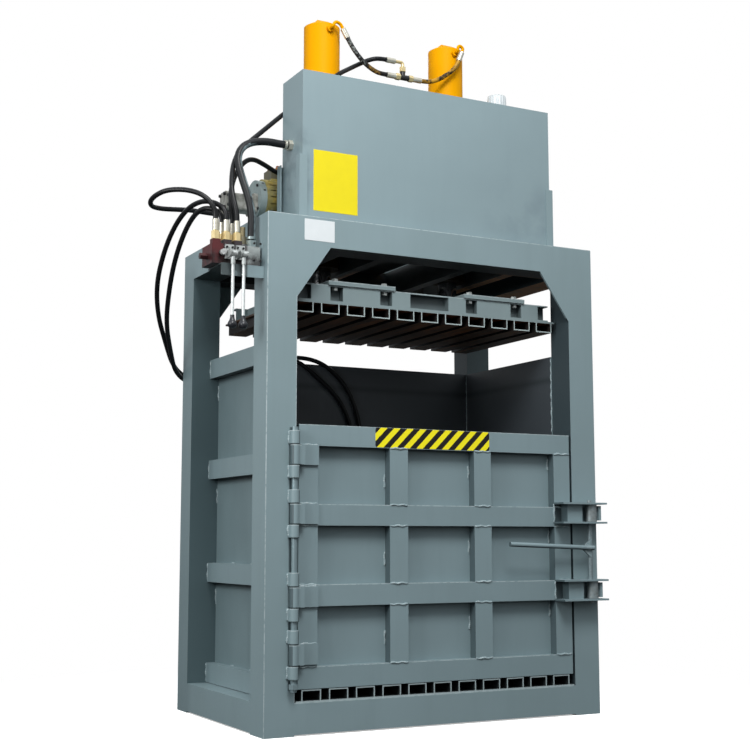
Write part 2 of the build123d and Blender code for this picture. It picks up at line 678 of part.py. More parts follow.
with BuildPart() as piston_rods:
    with BuildSketch(plan(ROD_PLATE_TOP)):
        with Locations(CYLINDERS):
            Circle(ROD_RADIUS)
    extrude(amount=PISTON_BOTTOM - ROD_PLATE_TOP)
    with BuildSketch(plan(PISTON_BOTTOM)):
        with Locations(CYLINDERS):
            Circle(ROD_SPIGOT_RADIUS)
    extrude(amount=PISTON_LENGTH)
finish("piston_rods", piston_rods.part)

# Platen: a plate, eleven strapping channels under it and a channel frame on it
PLATEN_LENGTH = PLATEN_REAR - PLATEN_FRONT
with BuildPart() as platen_plate:
    with BuildSketch(plan(PLATEN_PLATE_BOTTOM)):
        with Locations((0, (PLATEN_FRONT + PLATEN_REAR) / 2)):
            Rectangle(2 * PLATEN_HALF_WIDTH, PLATEN_LENGTH)
    extrude(amount=PLATEN_PLATE)
finish("platen_plate", platen_plate.part)

with BuildPart() as platen_channels:
    with BuildSketch(upright(PLATEN_REAR)):
        with Locations([(x, PLATEN_BOTTOM + CHANNEL_DEPTH / 2) for x in GROOVE_XS]):
            channel_section(CHANNEL_WIDTH, CHANNEL_DEPTH, CHANNEL_WALL, open_y=1)
    extrude(amount=PLATEN_LENGTH)
finish("platen_channels", platen_channels.part)

# Front and rear cross channels with their open sides outwards, and box stiffeners
PLATEN_BEAM_Z = (PLATEN_BEAM_BOTTOM + PLATEN_BEAM_TOP) / 2
STIFFENER_XS = [
    rod_x + hand * offset
    for rod_x in (-CYLINDER_X, CYLINDER_X)
    for hand in (-1, 1)
    for offset in (STIFFENER_WIDTH / 2, STIFFENER_OUTER + STIFFENER_WIDTH / 2)
]
ROD_BOLTS = [
    (rod_x + hand * ROD_BOLT_X, y)
    for rod_x in (-CYLINDER_X, CYLINDER_X)
    for hand in (-1, 1)
    for y in (PLATEN_FRONT + ROD_BOLT_INSET, PLATEN_REAR - ROD_BOLT_INSET)
]
INNER_SPAN = PLATEN_LENGTH - 2 * PLATEN_BEAM_DEPTH
with BuildPart() as cross_channels:
    with BuildSketch(side(-PLATEN_BEAM_HALF)):
        for y, hand in (
            (PLATEN_FRONT + PLATEN_BEAM_DEPTH / 2, -1),
            (PLATEN_REAR - PLATEN_BEAM_DEPTH / 2, 1),
        ):
            with Locations((y, PLATEN_BEAM_Z)):
                channel_section(PLATEN_BEAM_HEIGHT, PLATEN_BEAM_DEPTH, PLATEN_BEAM_WALL, open_x=hand)
    extrude(amount=2 * PLATEN_BEAM_HALF)
    # Boxed ends that fill the open sides in front of each stiffener
    for y in (PLATEN_FRONT + PLATEN_BEAM_DEPTH - PLATEN_BEAM_WALL, PLATEN_REAR):
        with BuildSketch(upright(y)):
            with Locations([(x, PLATEN_BEAM_Z) for x in STIFFENER_XS]):
                Rectangle(STIFFENER_WIDTH, PLATEN_BEAM_HEIGHT - 2 * PLATEN_BEAM_WALL)
        extrude(amount=PLATEN_BEAM_DEPTH - PLATEN_BEAM_WALL)
    with BuildSketch(plan(PLATEN_BEAM_TOP - PLATEN_BEAM_WALL)):
        with Locations(ROD_BOLTS):
            Circle(ROD_BOLT_RADIUS)
    extrude(amount=PLATEN_BEAM_WALL, mode=Mode.SUBTRACT)
with BuildPart() as stiffeners:
    with BuildSketch(upright(PLATEN_REAR - PLATEN_BEAM_DEPTH)):
        with Locations([(x, PLATEN_BEAM_Z) for x in STIFFENER_XS]):
            tube_section(STIFFENER_WIDTH, PLATEN_BEAM_HEIGHT, PLATEN_BEAM_WALL)
    extrude(amount=INNER_SPAN)
platen_beams = cross_channels.part.solids() + stiffeners.part.solids()
finish("platen_beams", Compound(children=platen_beams))

ROD_PLATE_MIDDLE = (PLATEN_FRONT - ROD_PLATE_OVERHANG + PLATEN_REAR) / 2
with BuildPart() as rod_flange_plates:
    with BuildSketch(plan(PLATEN_BEAM_TOP)):
        with Locations([(x, ROD_PLATE_MIDDLE) for x in (-CYLINDER_X, CYLINDER_X)]):
            Rectangle(ROD_PLATE_WIDTH, PLATEN_LENGTH + ROD_PLATE_OVERHANG)
        with Locations(ROD_BOLTS):
            Circle(ROD_BOLT_RADIUS, mode=Mode.SUBTRACT)
    extrude(amount=ROD_PLATE_THICKNESS)
finish("rod_flange_plates", rod_flange_plates.part)

with BuildPart() as rod_flange_bolts:
    with BuildSketch(plan(PLATEN_BEAM_TOP - PLATEN_BEAM_WALL)):
        with Locations(ROD_BOLTS):
            Circle(ROD_BOLT_RADIUS)
    extrude(amount=PLATEN_BEAM_WALL + ROD_PLATE_THICKNESS)
    for bottom in (ROD_PLATE_TOP, PLATEN_BEAM_TOP - PLATEN_BEAM_WALL - ROD_BOLT_HEAD):
        with BuildSketch(plan(bottom)):
            with Locations(ROD_BOLTS):
                RegularPolygon(ROD_BOLT_HEX, 6)
        extrude(amount=ROD_BOLT_HEAD)
finish("rod_flange_bolts", rod_flange_bolts.part)

# Door: a sheet behind four rails, with four short stiles between each two rails
with BuildPart() as door_rails:
    with BuildSketch(side(-DOOR_HALF_WIDTH)):
        with Locations([(CHANNEL_DEPTH / 2, z) for z in DOOR_RAIL_LEVELS]):
            channel_section(CHANNEL_WIDTH, CHANNEL_DEPTH, CHANNEL_WALL, open_x=1)
    extrude(amount=2 * DOOR_HALF_WIDTH)
with BuildPart() as door_stiles:
    for lower, upper in zip(DOOR_RAIL_LEVELS, DOOR_RAIL_LEVELS[1:]):
        with BuildSketch(plan(lower + CHANNEL_WIDTH / 2)):
            with Locations([(x, CHANNEL_DEPTH / 2) for x in DOOR_STILE_XS]):
                channel_section(CHANNEL_WIDTH, CHANNEL_DEPTH, CHANNEL_WALL, open_y=1)
        extrude(amount=upper - lower - CHANNEL_WIDTH)
door_frame = door_rails.part.solids() + door_stiles.part.solids()
finish("door_frame", Compound(children=door_frame))

with BuildPart() as door_sheet:
    with BuildSketch(upright(CHANNEL_DEPTH + SHEET)):
        with Locations((0, (DOOR_BOTTOM + DOOR_TOP) / 2)):
            Rectangle(2 * DOOR_HALF_WIDTH, DOOR_TOP - DOOR_BOTTOM)
    extrude(amount=SHEET)
finish("door_sheet", door_sheet.part)

# Hinge: one long pin through fixed knuckles on the column and leaves on the door
with BuildPart() as hinge_fixed_knuckles:
    for level in HINGE_LEVELS:
        for hand in (-1, 1):
            middle = level + hand * (LEAF_KNUCKLE / 2 + KNUCKLE_GAP + FIXED_KNUCKLE / 2)
            with BuildSketch(plan(middle - FIXED_KNUCKLE / 2)):
                with Locations((HINGE_X, HINGE_Y)):
                    Circle(KNUCKLE_RADIUS)
                with Locations((HINGE_X - KNUCKLE_RADIUS + FOOT_WIDTH / 2, HINGE_Y / 2)):
                    Rectangle(FOOT_WIDTH, -HINGE_Y)
                with Locations((HINGE_X, HINGE_Y)):
                    Circle(PIN_RADIUS, mode=Mode.SUBTRACT)
            extrude(amount=FIXED_KNUCKLE)
finish("hinge_fixed_knuckles", hinge_fixed_knuckles.part)

# Each leaf lies on the outer stile, with a neck that reaches its knuckle
STILE_LEFT = DOOR_STILE_XS[0] - CHANNEL_WIDTH / 2
NECK_LEFT = HINGE_X + PIN_RADIUS
with BuildPart() as hinge_leaves:
    for level in HINGE_LEVELS:
        with BuildSketch(plan(level - LEAF_KNUCKLE / 2)):
            with Locations((HINGE_X, HINGE_Y)):
                Circle(KNUCKLE_RADIUS)
            with Locations((STILE_LEFT + LEAF_WIDTH / 2, -LEAF_THICKNESS / 2)):
                Rectangle(LEAF_WIDTH, LEAF_THICKNESS)
            with Locations(((NECK_LEFT + STILE_LEFT + LEAF_NECK) / 2, (HINGE_Y - LEAF_THICKNESS) / 2)):
                Rectangle(STILE_LEFT + LEAF_NECK - NECK_LEFT, LEAF_THICKNESS - HINGE_Y)
            with Locations((HINGE_X, HINGE_Y)):
                Circle(PIN_RADIUS + PIN_CLEARANCE, mode=Mode.SUBTRACT)
        extrude(amount=LEAF_KNUCKLE)
finish("hinge_leaves", hinge_leaves.part)

with BuildPart() as hinge_pin:
    with BuildSketch(plan(HINGE_PIN_BOTTOM)):
        with Locations((HINGE_X, HINGE_Y)):
            Circle(PIN_RADIUS)
    extrude(amount=HINGE_PIN_TOP - HINGE_PIN_BOTTOM)
    with BuildSketch(plan(HINGE_PIN_BOTTOM + HINGE_NUT_RISE)):
        with Locations((HINGE_X, HINGE_Y)):
            RegularPolygon(HINGE_NUT_RADIUS, 6)
    extrude(amount=HINGE_NUT_HEIGHT)
finish("hinge_pin", hinge_pin.part)

# Latch: two housings welded to the door, reaching across the right column
LATCH_HALF = LATCH_HEIGHT / 2
LATCH_BACK = -LATCH_COLUMN_GAP
with BuildPart() as latch_housings:
    for level in LATCH_LEVELS:
        for bottom in (level - LATCH_HALF, level + LATCH_HALF - LATCH_PLATE):
            with BuildSketch(plan(bottom)):
                with Locations(((LATCH_LEFT + LATCH_RIGHT) / 2, (LATCH_FRONT + LATCH_BACK) / 2)):
                    Rectangle(LATCH_RIGHT - LATCH_LEFT, LATCH_BACK - LATCH_FRONT)
                with Locations(((LATCH_LEFT + DOOR_HALF_WIDTH) / 2, LATCH_BACK / 2)):
                    Rectangle(DOOR_HALF_WIDTH - LATCH_LEFT, -LATCH_BACK)
                with Locations((LATCH_SHAFT_X, LATCH_SHAFT_Y)):
                    Circle(LATCH_SHAFT_RADIUS + LATCH_SHAFT_CLEARANCE, mode=Mode.SUBTRACT)
            extrude(amount=LATCH_PLATE)
        # Block between the two plates, over the edge of the door
        with BuildSketch(plan(level - LATCH_HALF + LATCH_PLATE)):
            with Locations((LATCH_BLOCK_LEFT + LATCH_BLOCK_WIDTH / 2, (LATCH_BLOCK_FRONT + LATCH_BACK) / 2)):
                Rectangle(LATCH_BLOCK_WIDTH, LATCH_BACK - LATCH_BLOCK_FRONT)
            with Locations(((LATCH_BLOCK_LEFT + DOOR_HALF_WIDTH) / 2, LATCH_BACK / 2)):
                Rectangle(DOOR_HALF_WIDTH - LATCH_BLOCK_LEFT, -LATCH_BACK)
        extrude(amount=LATCH_HEIGHT - 2 * LATCH_PLATE)
finish("latch_housings", latch_housings.part)

with BuildPart() as latch_shaft:
    bottom = LATCH_LEVELS[0] - LATCH_HALF - LATCH_SHAFT_OVERHANG
    with BuildSketch(plan(bottom)):
        with Locations((LATCH_SHAFT_X, LATCH_SHAFT_Y)):
            Circle(LATCH_SHAFT_RADIUS)
    extrude(amount=LATCH_LEVELS[1] + LATCH_HALF + LATCH_SHAFT_OVERHANG - bottom)
finish("latch_shaft", latch_shaft.part)

# Eccentric rollers on the shaft, which press on the keepers when it is turned
ECCENTRIC_HEIGHT = LATCH_HEIGHT - 2 * LATCH_PLATE - 2 * ECCENTRIC_END_GAP
with BuildPart() as latch_eccentrics:
    for level in LATCH_LEVELS:
        with BuildSketch(plan(level - ECCENTRIC_HEIGHT / 2)):
            with Locations((LATCH_SHAFT_X + ECCENTRIC_OFFSET, LATCH_SHAFT_Y)):
                Circle(ECCENTRIC_RADIUS)
            with Locations((LATCH_SHAFT_X, LATCH_SHAFT_Y)):
                Circle(LATCH_SHAFT_RADIUS, mode=Mode.SUBTRACT)
        extrude(amount=ECCENTRIC_HEIGHT)
finish("latch_eccentrics", latch_eccentrics.part)

KEEPER_LEFT = LATCH_SHAFT_X + ECCENTRIC_OFFSET + ECCENTRIC_RADIUS + KEEPER_GAP
KEEPER_HEIGHT = LATCH_HEIGHT - 2 * LATCH_PLATE - 2 * KEEPER_END_GAP
with BuildPart() as latch_keepers:
    for level in LATCH_LEVELS:
        with BuildSketch(plan(level - KEEPER_HEIGHT / 2)):
            with Locations((KEEPER_LEFT + KEEPER_THICKNESS / 2, -KEEPER_DEPTH / 2)):
                Rectangle(KEEPER_THICKNESS, KEEPER_DEPTH)
        extrude(amount=KEEPER_HEIGHT)
finish("latch_keepers", latch_keepers.part)

# Handle: a round bar notched around the shaft, with two gussets
HANDLE_Y = LATCH_SHAFT_Y - HANDLE_SETBACK
HANDLE_TILT = math.degrees(math.asin(HANDLE_RISE / HANDLE_LENGTH))
HANDLE_RIGHT = LATCH_SHAFT_X + HANDLE_OVERHANG
GUSSET_BACK = LATCH_SHAFT_Y + HANDLE_GUSSET_THICKNESS / 2 - HANDLE_SETBACK / 2
with BuildPart() as latch_handle:
    with BuildSketch(
        Plane(
            origin=(MID_X + HANDLE_RIGHT, FRONT_Y + HANDLE_Y, HANDLE_LEVEL),
            x_dir=(0, 1, 0),
            z_dir=(-math.cos(math.radians(HANDLE_TILT)), 0, math.sin(math.radians(HANDLE_TILT))),
        )
    ):
        Circle(HANDLE_RADIUS)
    extrude(amount=HANDLE_LENGTH)
    with BuildSketch(upright(GUSSET_BACK)):
        with BuildLine():
            Polyline(
                (LATCH_SHAFT_X, HANDLE_LEVEL - HANDLE_GUSSET),
                (LATCH_SHAFT_X, HANDLE_LEVEL + HANDLE_GUSSET),
                (LATCH_SHAFT_X - LATCH_SHAFT_RADIUS - HANDLE_GUSSET, HANDLE_LEVEL),
                close=True,
            )
        make_face()
    extrude(amount=HANDLE_GUSSET_THICKNESS)
    with BuildSketch(plan(HANDLE_LEVEL - 2 * HANDLE_GUSSET)):
        with Locations((LATCH_SHAFT_X, LATCH_SHAFT_Y)):
            Circle(LATCH_SHAFT_RADIUS)
    extrude(amount=4 * HANDLE_GUSSET, mode=Mode.SUBTRACT)
finish("latch_handle", latch_handle.part)

# Oil tank: a welded box, open only at the breather and the return port
TANK_MID_Y = TANK_FRONT + TANK_DEPTH / 2
with BuildPart() as oil_tank:
    with BuildSketch(plan(DECK_TOP)):
        with Locations((0, TANK_MID_Y)):
            Rectangle(2 * TANK_HALF_WIDTH, TANK_DEPTH)
    extrude(amount=TANK_HEIGHT)
    with BuildSketch(plan(DECK_TOP + TANK_WALL)):
        with Locations((0, TANK_MID_Y)):
            Rectangle(2 * (TANK_HALF_WIDTH - TANK_WALL), TANK_DEPTH - 2 * TANK_WALL)
    extrude(amount=TANK_HEIGHT - 2 * TANK_WALL, mode=Mode.SUBTRACT)
    with BuildSketch(plan(TANK_TOP - TANK_WALL)):
        with Locations((BREATHER_X, BREATHER_Y)):
            Circle(BREATHER_NECK_RADIUS)
    extrude(amount=TANK_WALL, mode=Mode.SUBTRACT)
    with BuildSketch(side(-TANK_HALF_WIDTH)):
        with Locations((RETURN_PORT_Y, RETURN_PORT_LEVEL)):
            Circle(RETURN_HOSE_RADIUS)
    extrude(amount=TANK_WALL, mode=Mode.SUBTRACT)
finish("oil_tank", oil_tank.part)

# Angle uprights at the four corners of the tank
REAR_UPRIGHT_Y = TANK_FRONT + TANK_DEPTH + UPRIGHT_REAR_GAP
UPRIGHT_X = TANK_HALF_WIDTH + UPRIGHT_SIDE_GAP + UPRIGHT_WALL
with BuildPart() as tank_uprights:
    with BuildSketch(plan(DECK_TOP)):
        for hand in (-1, 1):
            front_y = TANK_FRONT - UPRIGHT_WALL / 2
            rear_y = REAR_UPRIGHT_Y + UPRIGHT_WALL / 2
            with Locations(
                (hand * (UPRIGHT_X - UPRIGHT_LEG / 2), front_y),
                (hand * (UPRIGHT_X - UPRIGHT_LEG / 2), rear_y),
            ):
                Rectangle(UPRIGHT_LEG, UPRIGHT_WALL)
            with Locations(
                (hand * (UPRIGHT_X - UPRIGHT_WALL / 2), TANK_FRONT - UPRIGHT_WALL + UPRIGHT_LEG / 2),
                (hand * (UPRIGHT_X - UPRIGHT_WALL / 2), REAR_UPRIGHT_Y + UPRIGHT_WALL - UPRIGHT_LEG / 2),
            ):
                Rectangle(UPRIGHT_WALL, UPRIGHT_LEG)
    extrude(amount=UPRIGHT_TOP - DECK_TOP)
finish("tank_uprights", tank_uprights.part)

with BuildPart() as breather_cap:
    with BuildSketch(plan(TANK_TOP - TANK_WALL)):
        with Locations((BREATHER_X, BREATHER_Y)):
            Circle(BREATHER_NECK_RADIUS)
    extrude(amount=TANK_WALL + BREATHER_NECK)
    with BuildSketch(plan(TANK_TOP + BREATHER_NECK)):
        with Locations((BREATHER_X, BREATHER_Y)):
            Circle(BREATHER_RADIUS)
    extrude(amount=BREATHER_HEIGHT)
finish("breather_cap", breather_cap.part)

# Bell housing between the motor and the pump, hollow around the coupling
with BuildPart() as bell_housing:
    with BuildSketch(side(BELL_LEFT)):
        with Locations((MOTOR_Y, MOTOR_LEVEL)):
            Circle(BELL_RADIUS)
            Circle(BELL_RADIUS - BELL_WALL, mode=Mode.SUBTRACT)
    extrude(amount=BELL_LENGTH)
    with BuildSketch(side(BELL_LEFT)):
        with Locations((MOTOR_Y, MOTOR_LEVEL)):
            Circle(BELL_RADIUS - BELL_WALL)
    extrude(amount=BELL_WALL)
finish("bell_housing", bell_housing.part)

# Motor housing: finned skin, end shields, stator, feet and terminal box
STATOR_BORE = MOTOR_RADIUS - MOTOR_SKIN - STATOR_THICKNESS
with BuildPart() as motor_body:
    with BuildSketch(side(MOTOR_LEFT)):
        with Locations((MOTOR_Y, MOTOR_LEVEL)):
            Circle(MOTOR_RADIUS)
    extrude(amount=MOTOR_LENGTH)
    # Cooling grooves between the fins
    with BuildSketch(side(MOTOR_LEFT + MOTOR_SHIELD)):
        with Locations((MOTOR_Y, MOTOR_LEVEL)):
            with PolarLocations(MOTOR_RADIUS - FIN_DEPTH / 2, MOTOR_FINS):
                Rectangle(FIN_DEPTH, FIN_WIDTH)
    extrude(amount=MOTOR_LENGTH - 2 * MOTOR_SHIELD, mode=Mode.SUBTRACT)
    # Feet and terminal box
    with BuildSketch(side(MOTOR_LEFT + (MOTOR_LENGTH - FOOT_LENGTH) / 2)):
        with Locations((MOTOR_Y, DECK_TOP + FOOT_PLATE / 2)):
            Rectangle(FOOT_SPREAD, FOOT_PLATE)
        web_height = MOTOR_LEVEL - DECK_TOP - MOTOR_RADIUS / 2
        for hand in (-1, 1):
            with Locations((MOTOR_Y + hand * FOOT_WEB_SPREAD / 2, DECK_TOP + web_height / 2)):
                Rectangle(FOOT_WEB, web_height)
    extrude(amount=FOOT_LENGTH)
    with BuildSketch(plan(MOTOR_LEVEL + MOTOR_RADIUS - MOTOR_SKIN)):
        with Locations((MOTOR_LEFT + MOTOR_LENGTH / 2, MOTOR_Y)):
            Rectangle(TERMINAL_BOX_LENGTH, TERMINAL_BOX_WIDTH)
    extrude(amount=MOTOR_SKIN + TERMINAL_BOX_HEIGHT)
    # Room for the rotor, and the bore for its shaft
    with BuildSketch(side(MOTOR_LEFT + MOTOR_SHIELD)):
        with Locations((MOTOR_Y, MOTOR_LEVEL)):
            Circle(STATOR_BORE)
    extrude(amount=MOTOR_LENGTH - 2 * MOTOR_SHIELD, mode=Mode.SUBTRACT)
    with BuildSketch(side(MOTOR_LEFT)):
        with Locations((MOTOR_Y, MOTOR_LEVEL)):
            Circle(MOTOR_SHAFT_RADIUS + SHAFT_CLEARANCE)
    extrude(amount=MOTOR_LENGTH, mode=Mode.SUBTRACT)
finish("motor_body", motor_body.part)

# Rotor with its shaft, coupling half and fan
ROTOR_LEFT = MOTOR_LEFT + MOTOR_SHIELD + ROTOR_END_GAP
ROTOR_RIGHT = FAN_LEFT - MOTOR_SHIELD - ROTOR_END_GAP
COUPLING_LEFT = BELL_LEFT + BELL_WALL + COUPLING_GAP
FAN_RIGHT = FAN_LEFT + FAN_GAP + FAN_THICKNESS
with BuildPart() as motor_rotor:
    for left, right, radius in (
        (COUPLING_LEFT, FAN_RIGHT, MOTOR_SHAFT_RADIUS),
        (COUPLING_LEFT, COUPLING_LEFT + COUPLING_LENGTH, COUPLING_RADIUS),
        (ROTOR_LEFT, ROTOR_RIGHT, STATOR_BORE - ROTOR_GAP),
        (FAN_RIGHT - FAN_THICKNESS, FAN_RIGHT, FAN_RADIUS),
    ):
        with BuildSketch(side(left)):
            with Locations((MOTOR_Y, MOTOR_LEVEL)):
                Circle(radius)
        extrude(amount=right - left)
finish("motor_rotor", motor_rotor.part)

with BuildPart() as motor_fan_cover:
    with BuildSketch(side(FAN_LEFT)):
        with Locations((MOTOR_Y, MOTOR_LEVEL)):
            Circle(MOTOR_RADIUS)
            Circle(MOTOR_RADIUS - FAN_COVER_WALL, mode=Mode.SUBTRACT)
    extrude(amount=FAN_COVER_LENGTH - FAN_COVER_WALL)
    # Air grille in the end face
    with BuildSketch(side(FAN_LEFT + FAN_COVER_LENGTH - FAN_COVER_WALL)):
        with Locations((MOTOR_Y, MOTOR_LEVEL)):
            Circle(MOTOR_RADIUS)
            with PolarLocations(MOTOR_RADIUS / 2, GRILLE_SLOTS):
                Rectangle(GRILLE_SLOT_LENGTH, GRILLE_SLOT_WIDTH, mode=Mode.SUBTRACT)
    extrude(amount=FAN_COVER_WALL)
finish("motor_fan_cover", motor_fan_cover.part)

# Gear pump: mounting flange, body, rear cover and four cover bolts
PUMP_LEFT = BELL_LEFT - PUMP_FLANGE_THICKNESS - PUMP_LENGTH
# Its drive shaft sits above the middle of its body
PUMP_LEVEL = MOTOR_LEVEL - PUMP_DROP
with BuildPart() as gear_pump:
    with BuildSketch(side(BELL_LEFT - PUMP_FLANGE_THICKNESS)):
        with Locations((MOTOR_Y, PUMP_LEVEL)):
            RectangleRounded(PUMP_FLANGE_WIDTH, PUMP_FLANGE_HEIGHT, PUMP_CORNER)
    extrude(amount=PUMP_FLANGE_THICKNESS)
    with BuildSketch(side(PUMP_LEFT + PUMP_COVER)):
        with Locations((MOTOR_Y, PUMP_LEVEL)):
            RectangleRounded(PUMP_WIDTH - 2 * VALVE_JOINT, PUMP_HEIGHT - 2 * VALVE_JOINT, PUMP_CORNER)
    extrude(amount=PUMP_LENGTH - PUMP_COVER)
    with BuildSketch(side(PUMP_LEFT)):
        with Locations((MOTOR_Y, PUMP_LEVEL)):
            RectangleRounded(PUMP_WIDTH, PUMP_HEIGHT, PUMP_CORNER)
    extrude(amount=PUMP_COVER)
    with BuildSketch(side(PUMP_LEFT - PUMP_BOLT_HEAD)):
        with Locations((MOTOR_Y, PUMP_LEVEL)):
            with GridLocations(2 * PUMP_BOLT_X, 2 * PUMP_BOLT_Z, 2, 2):
                Circle(PUMP_BOLT_RADIUS)
    extrude(amount=PUMP_BOLT_HEAD)
finish("gear_pump", gear_pump.part)

# Shelf for the control valve, on the outer face of the front column
with BuildPart() as valve_shelf:
    with BuildSketch(plan(SHELF_TOP - SHELF_THICKNESS)):
        with Locations(((SHELF_LEFT - WIDTH / 2) / 2, (SHELF_FRONT + SHELF_REAR) / 2)):
            Rectangle(-WIDTH / 2 - SHELF_LEFT, SHELF_REAR - SHELF_FRONT)
    extrude(amount=SHELF_THICKNESS)
    with BuildSketch(upright(SHELF_FRONT + SHELF_THICKNESS)):
        with Locations(((SHELF_LEFT - WIDTH / 2) / 2, SHELF_TOP - SHELF_LIP / 2)):
            Rectangle(-WIDTH / 2 - SHELF_LEFT, SHELF_LIP)
    extrude(amount=SHELF_THICKNESS)
finish("valve_shelf", valve_shelf.part)

# Control valve: stacked sections with a shallow joint between each two
VALVE_REAR = VALVE_FRONT + VALVE_DEPTH
VALVE_MID_Z = SHELF_TOP + VALVE_HEIGHT / 2
SECTION_JOINTS = [x + SPOOL_PITCH / 2 for x in (INLET_X, *SPOOL_XS)]
SECTION_EDGES = (VALVE_LEFT, *SECTION_JOINTS, VALVE_RIGHT)
VALVE_PORTS = [(INLET_X, FRONT_PORT_Y), (SPARE_PORT_X, REAR_PORT_Y)] + [
    (x, y) for x in SPOOL_XS for y in (FRONT_PORT_Y, REAR_PORT_Y)
]
with BuildPart() as valve_body:
    with BuildSketch(side(VALVE_LEFT)):
        with Locations(((VALVE_FRONT + VALVE_REAR) / 2, VALVE_MID_Z - VALVE_JOINT / 2)):
            Rectangle(VALVE_DEPTH - 2 * VALVE_JOINT, VALVE_HEIGHT - VALVE_JOINT)
    extrude(amount=VALVE_RIGHT - VALVE_LEFT)
    for left, right in zip(SECTION_EDGES, SECTION_EDGES[1:]):
        with BuildSketch(side(left + VALVE_JOINT / 2)):
            with Locations(((VALVE_FRONT + VALVE_REAR) / 2, VALVE_MID_Z)):
                Rectangle(VALVE_DEPTH, VALVE_HEIGHT)
        extrude(amount=right - left - VALVE_JOINT)
    # Port bosses on top
    with BuildSketch(plan(VALVE_TOP)):
        with Locations(VALVE_PORTS):
            Rectangle(PORT_BOSS_SIDE, PORT_BOSS_SIDE)
    extrude(amount=PORT_BOSS_HEIGHT)
    # Spool caps at the rear
    with BuildSketch(upright(VALVE_REAR + SPOOL_CAP_LENGTH)):
        with Locations([(x, LEVER_PIVOT_Z) for x in SPOOL_XS]):
            Circle(SPOOL_CAP_RADIUS)
    extrude(amount=SPOOL_CAP_LENGTH)
    # Relief cartridge in the end of the inlet section
    with BuildSketch(side(-REACH_LEFT)):
        with Locations(((VALVE_FRONT + VALVE_REAR) / 2, LEVER_PIVOT_Z)):
            RegularPolygon(RELIEF_RADIUS, 6)
    extrude(amount=REACH_LEFT + VALVE_LEFT + VALVE_JOINT)
    # Relief adjuster, a round knob at the front of the inlet section
    with BuildSketch(upright(VALVE_FRONT)):
        with Locations((ADJUSTER_X, LEVER_PIVOT_Z + ADJUSTER_RISE)):
            Circle(ADJUSTER_RADIUS)
    extrude(amount=ADJUSTER_LENGTH)
finish("valve_body", valve_body.part)

# Lever brackets: a base on each spool section, two ears and the pivot pin
EAR_OFFSET = LEVER_BOSS_WIDTH / 2 + LEVER_EAR_GAP + LEVER_EAR / 2
BRACKET_HALF = LEVER_BOSS_WIDTH / 2 + LEVER_EAR_GAP + LEVER_EAR
BRACKET_BOTTOM = LEVER_PIVOT_Z - LEVER_EAR_HALF
BRACKET_TOP = VALVE_TOP - VALVE_JOINT
with BuildPart() as lever_brackets:
    with BuildSketch(upright(VALVE_FRONT)):
        with Locations([(x, (BRACKET_BOTTOM + BRACKET_TOP) / 2) for x in SPOOL_XS]):
            Rectangle(LEVER_BASE_WIDTH, BRACKET_TOP - BRACKET_BOTTOM)
    extrude(amount=LEVER_BASE)
    for x in SPOOL_XS:
        for hand in (-1, 1):
            with BuildSketch(side(x + hand * EAR_OFFSET - LEVER_EAR / 2)):
                with Locations((LEVER_PIVOT_Y, LEVER_PIVOT_Z)):
                    Circle(LEVER_EAR_HALF)
                with Locations(((LEVER_PIVOT_Y + VALVE_FRONT) / 2, LEVER_PIVOT_Z)):
                    Rectangle(VALVE_FRONT - LEVER_PIVOT_Y, 2 * LEVER_EAR_HALF)
            extrude(amount=LEVER_EAR)
        with BuildSketch(side(x - BRACKET_HALF)):
            with Locations((LEVER_PIVOT_Y, LEVER_PIVOT_Z)):
                Circle(LEVER_PIN_RADIUS)
        extrude(amount=2 * BRACKET_HALF)
finish("lever_brackets", lever_brackets.part)


def valve_lever(x):
    with BuildPart() as lever:
        with BuildSketch(side(x - LEVER_BOSS_WIDTH / 2)):
            with Locations((LEVER_PIVOT_Y, LEVER_PIVOT_Z)):
                Circle(LEVER_BOSS_RADIUS)
        extrude(amount=LEVER_BOSS_WIDTH)
        for bottom, radius in (
            (LEVER_SOCKET_BOTTOM, LEVER_SOCKET_RADIUS),
            (LEVER_ROD_BOTTOM, LEVER_ROD_RADIUS),
        ):
            with BuildSketch(plan(bottom)):
                with Locations((x, LEVER_PIVOT_Y)):
                    Circle(radius)
            extrude(amount=LEVER_PIVOT_Z - bottom)
        with BuildSketch(side(x - LEVER_BOSS_WIDTH / 2)):
            with Locations((LEVER_PIVOT_Y, LEVER_PIVOT_Z)):
                Circle(LEVER_PIN_RADIUS + LEVER_PIN_CLEARANCE)
        extrude(amount=LEVER_BOSS_WIDTH, mode=Mode.SUBTRACT)
    return lever.part


def lever_knob(x):
    # Pear shape: a narrow neck that swells to a round end
    knob_bottom = LEVER_ROD_BOTTOM + KNOB_GRIP - KNOB_LENGTH
    axis_plane = Plane(
        origin=(MID_X + x, FRONT_Y + LEVER_PIVOT_Y, 0), x_dir=(1, 0, 0), z_dir=(0, -1, 0)
    )
    with BuildPart() as knob:
        with BuildSketch(axis_plane):
            with BuildLine():
                Polyline(
                    (0, knob_bottom),
                    (0, knob_bottom + KNOB_LENGTH),
                    (KNOB_NECK_RADIUS, knob_bottom + KNOB_LENGTH),
                )
                Spline(
                    (KNOB_NECK_RADIUS, knob_bottom + KNOB_LENGTH),
                    (KNOB_RADIUS, knob_bottom + KNOB_RADIUS),
                    (0, knob_bottom),
                    tangents=((0, -1), (-1, 0)),
                )
            make_face()
        revolve(axis=Axis((MID_X + x, FRONT_Y + LEVER_PIVOT_Y, 0), (0, 0, 1)))
        with BuildSketch(plan(LEVER_ROD_BOTTOM)):
            with Locations((x, LEVER_PIVOT_Y)):
                Circle(LEVER_ROD_RADIUS)
        extrude(amount=KNOB_LENGTH, mode=Mode.SUBTRACT)
    return knob.part


for name, x in (("left", SPOOL_XS[0]), ("right", SPOOL_XS[1])):
    finish(name + "_valve_lever", valve_lever(x))
    finish(name + "_lever_knob", lever_knob(x))

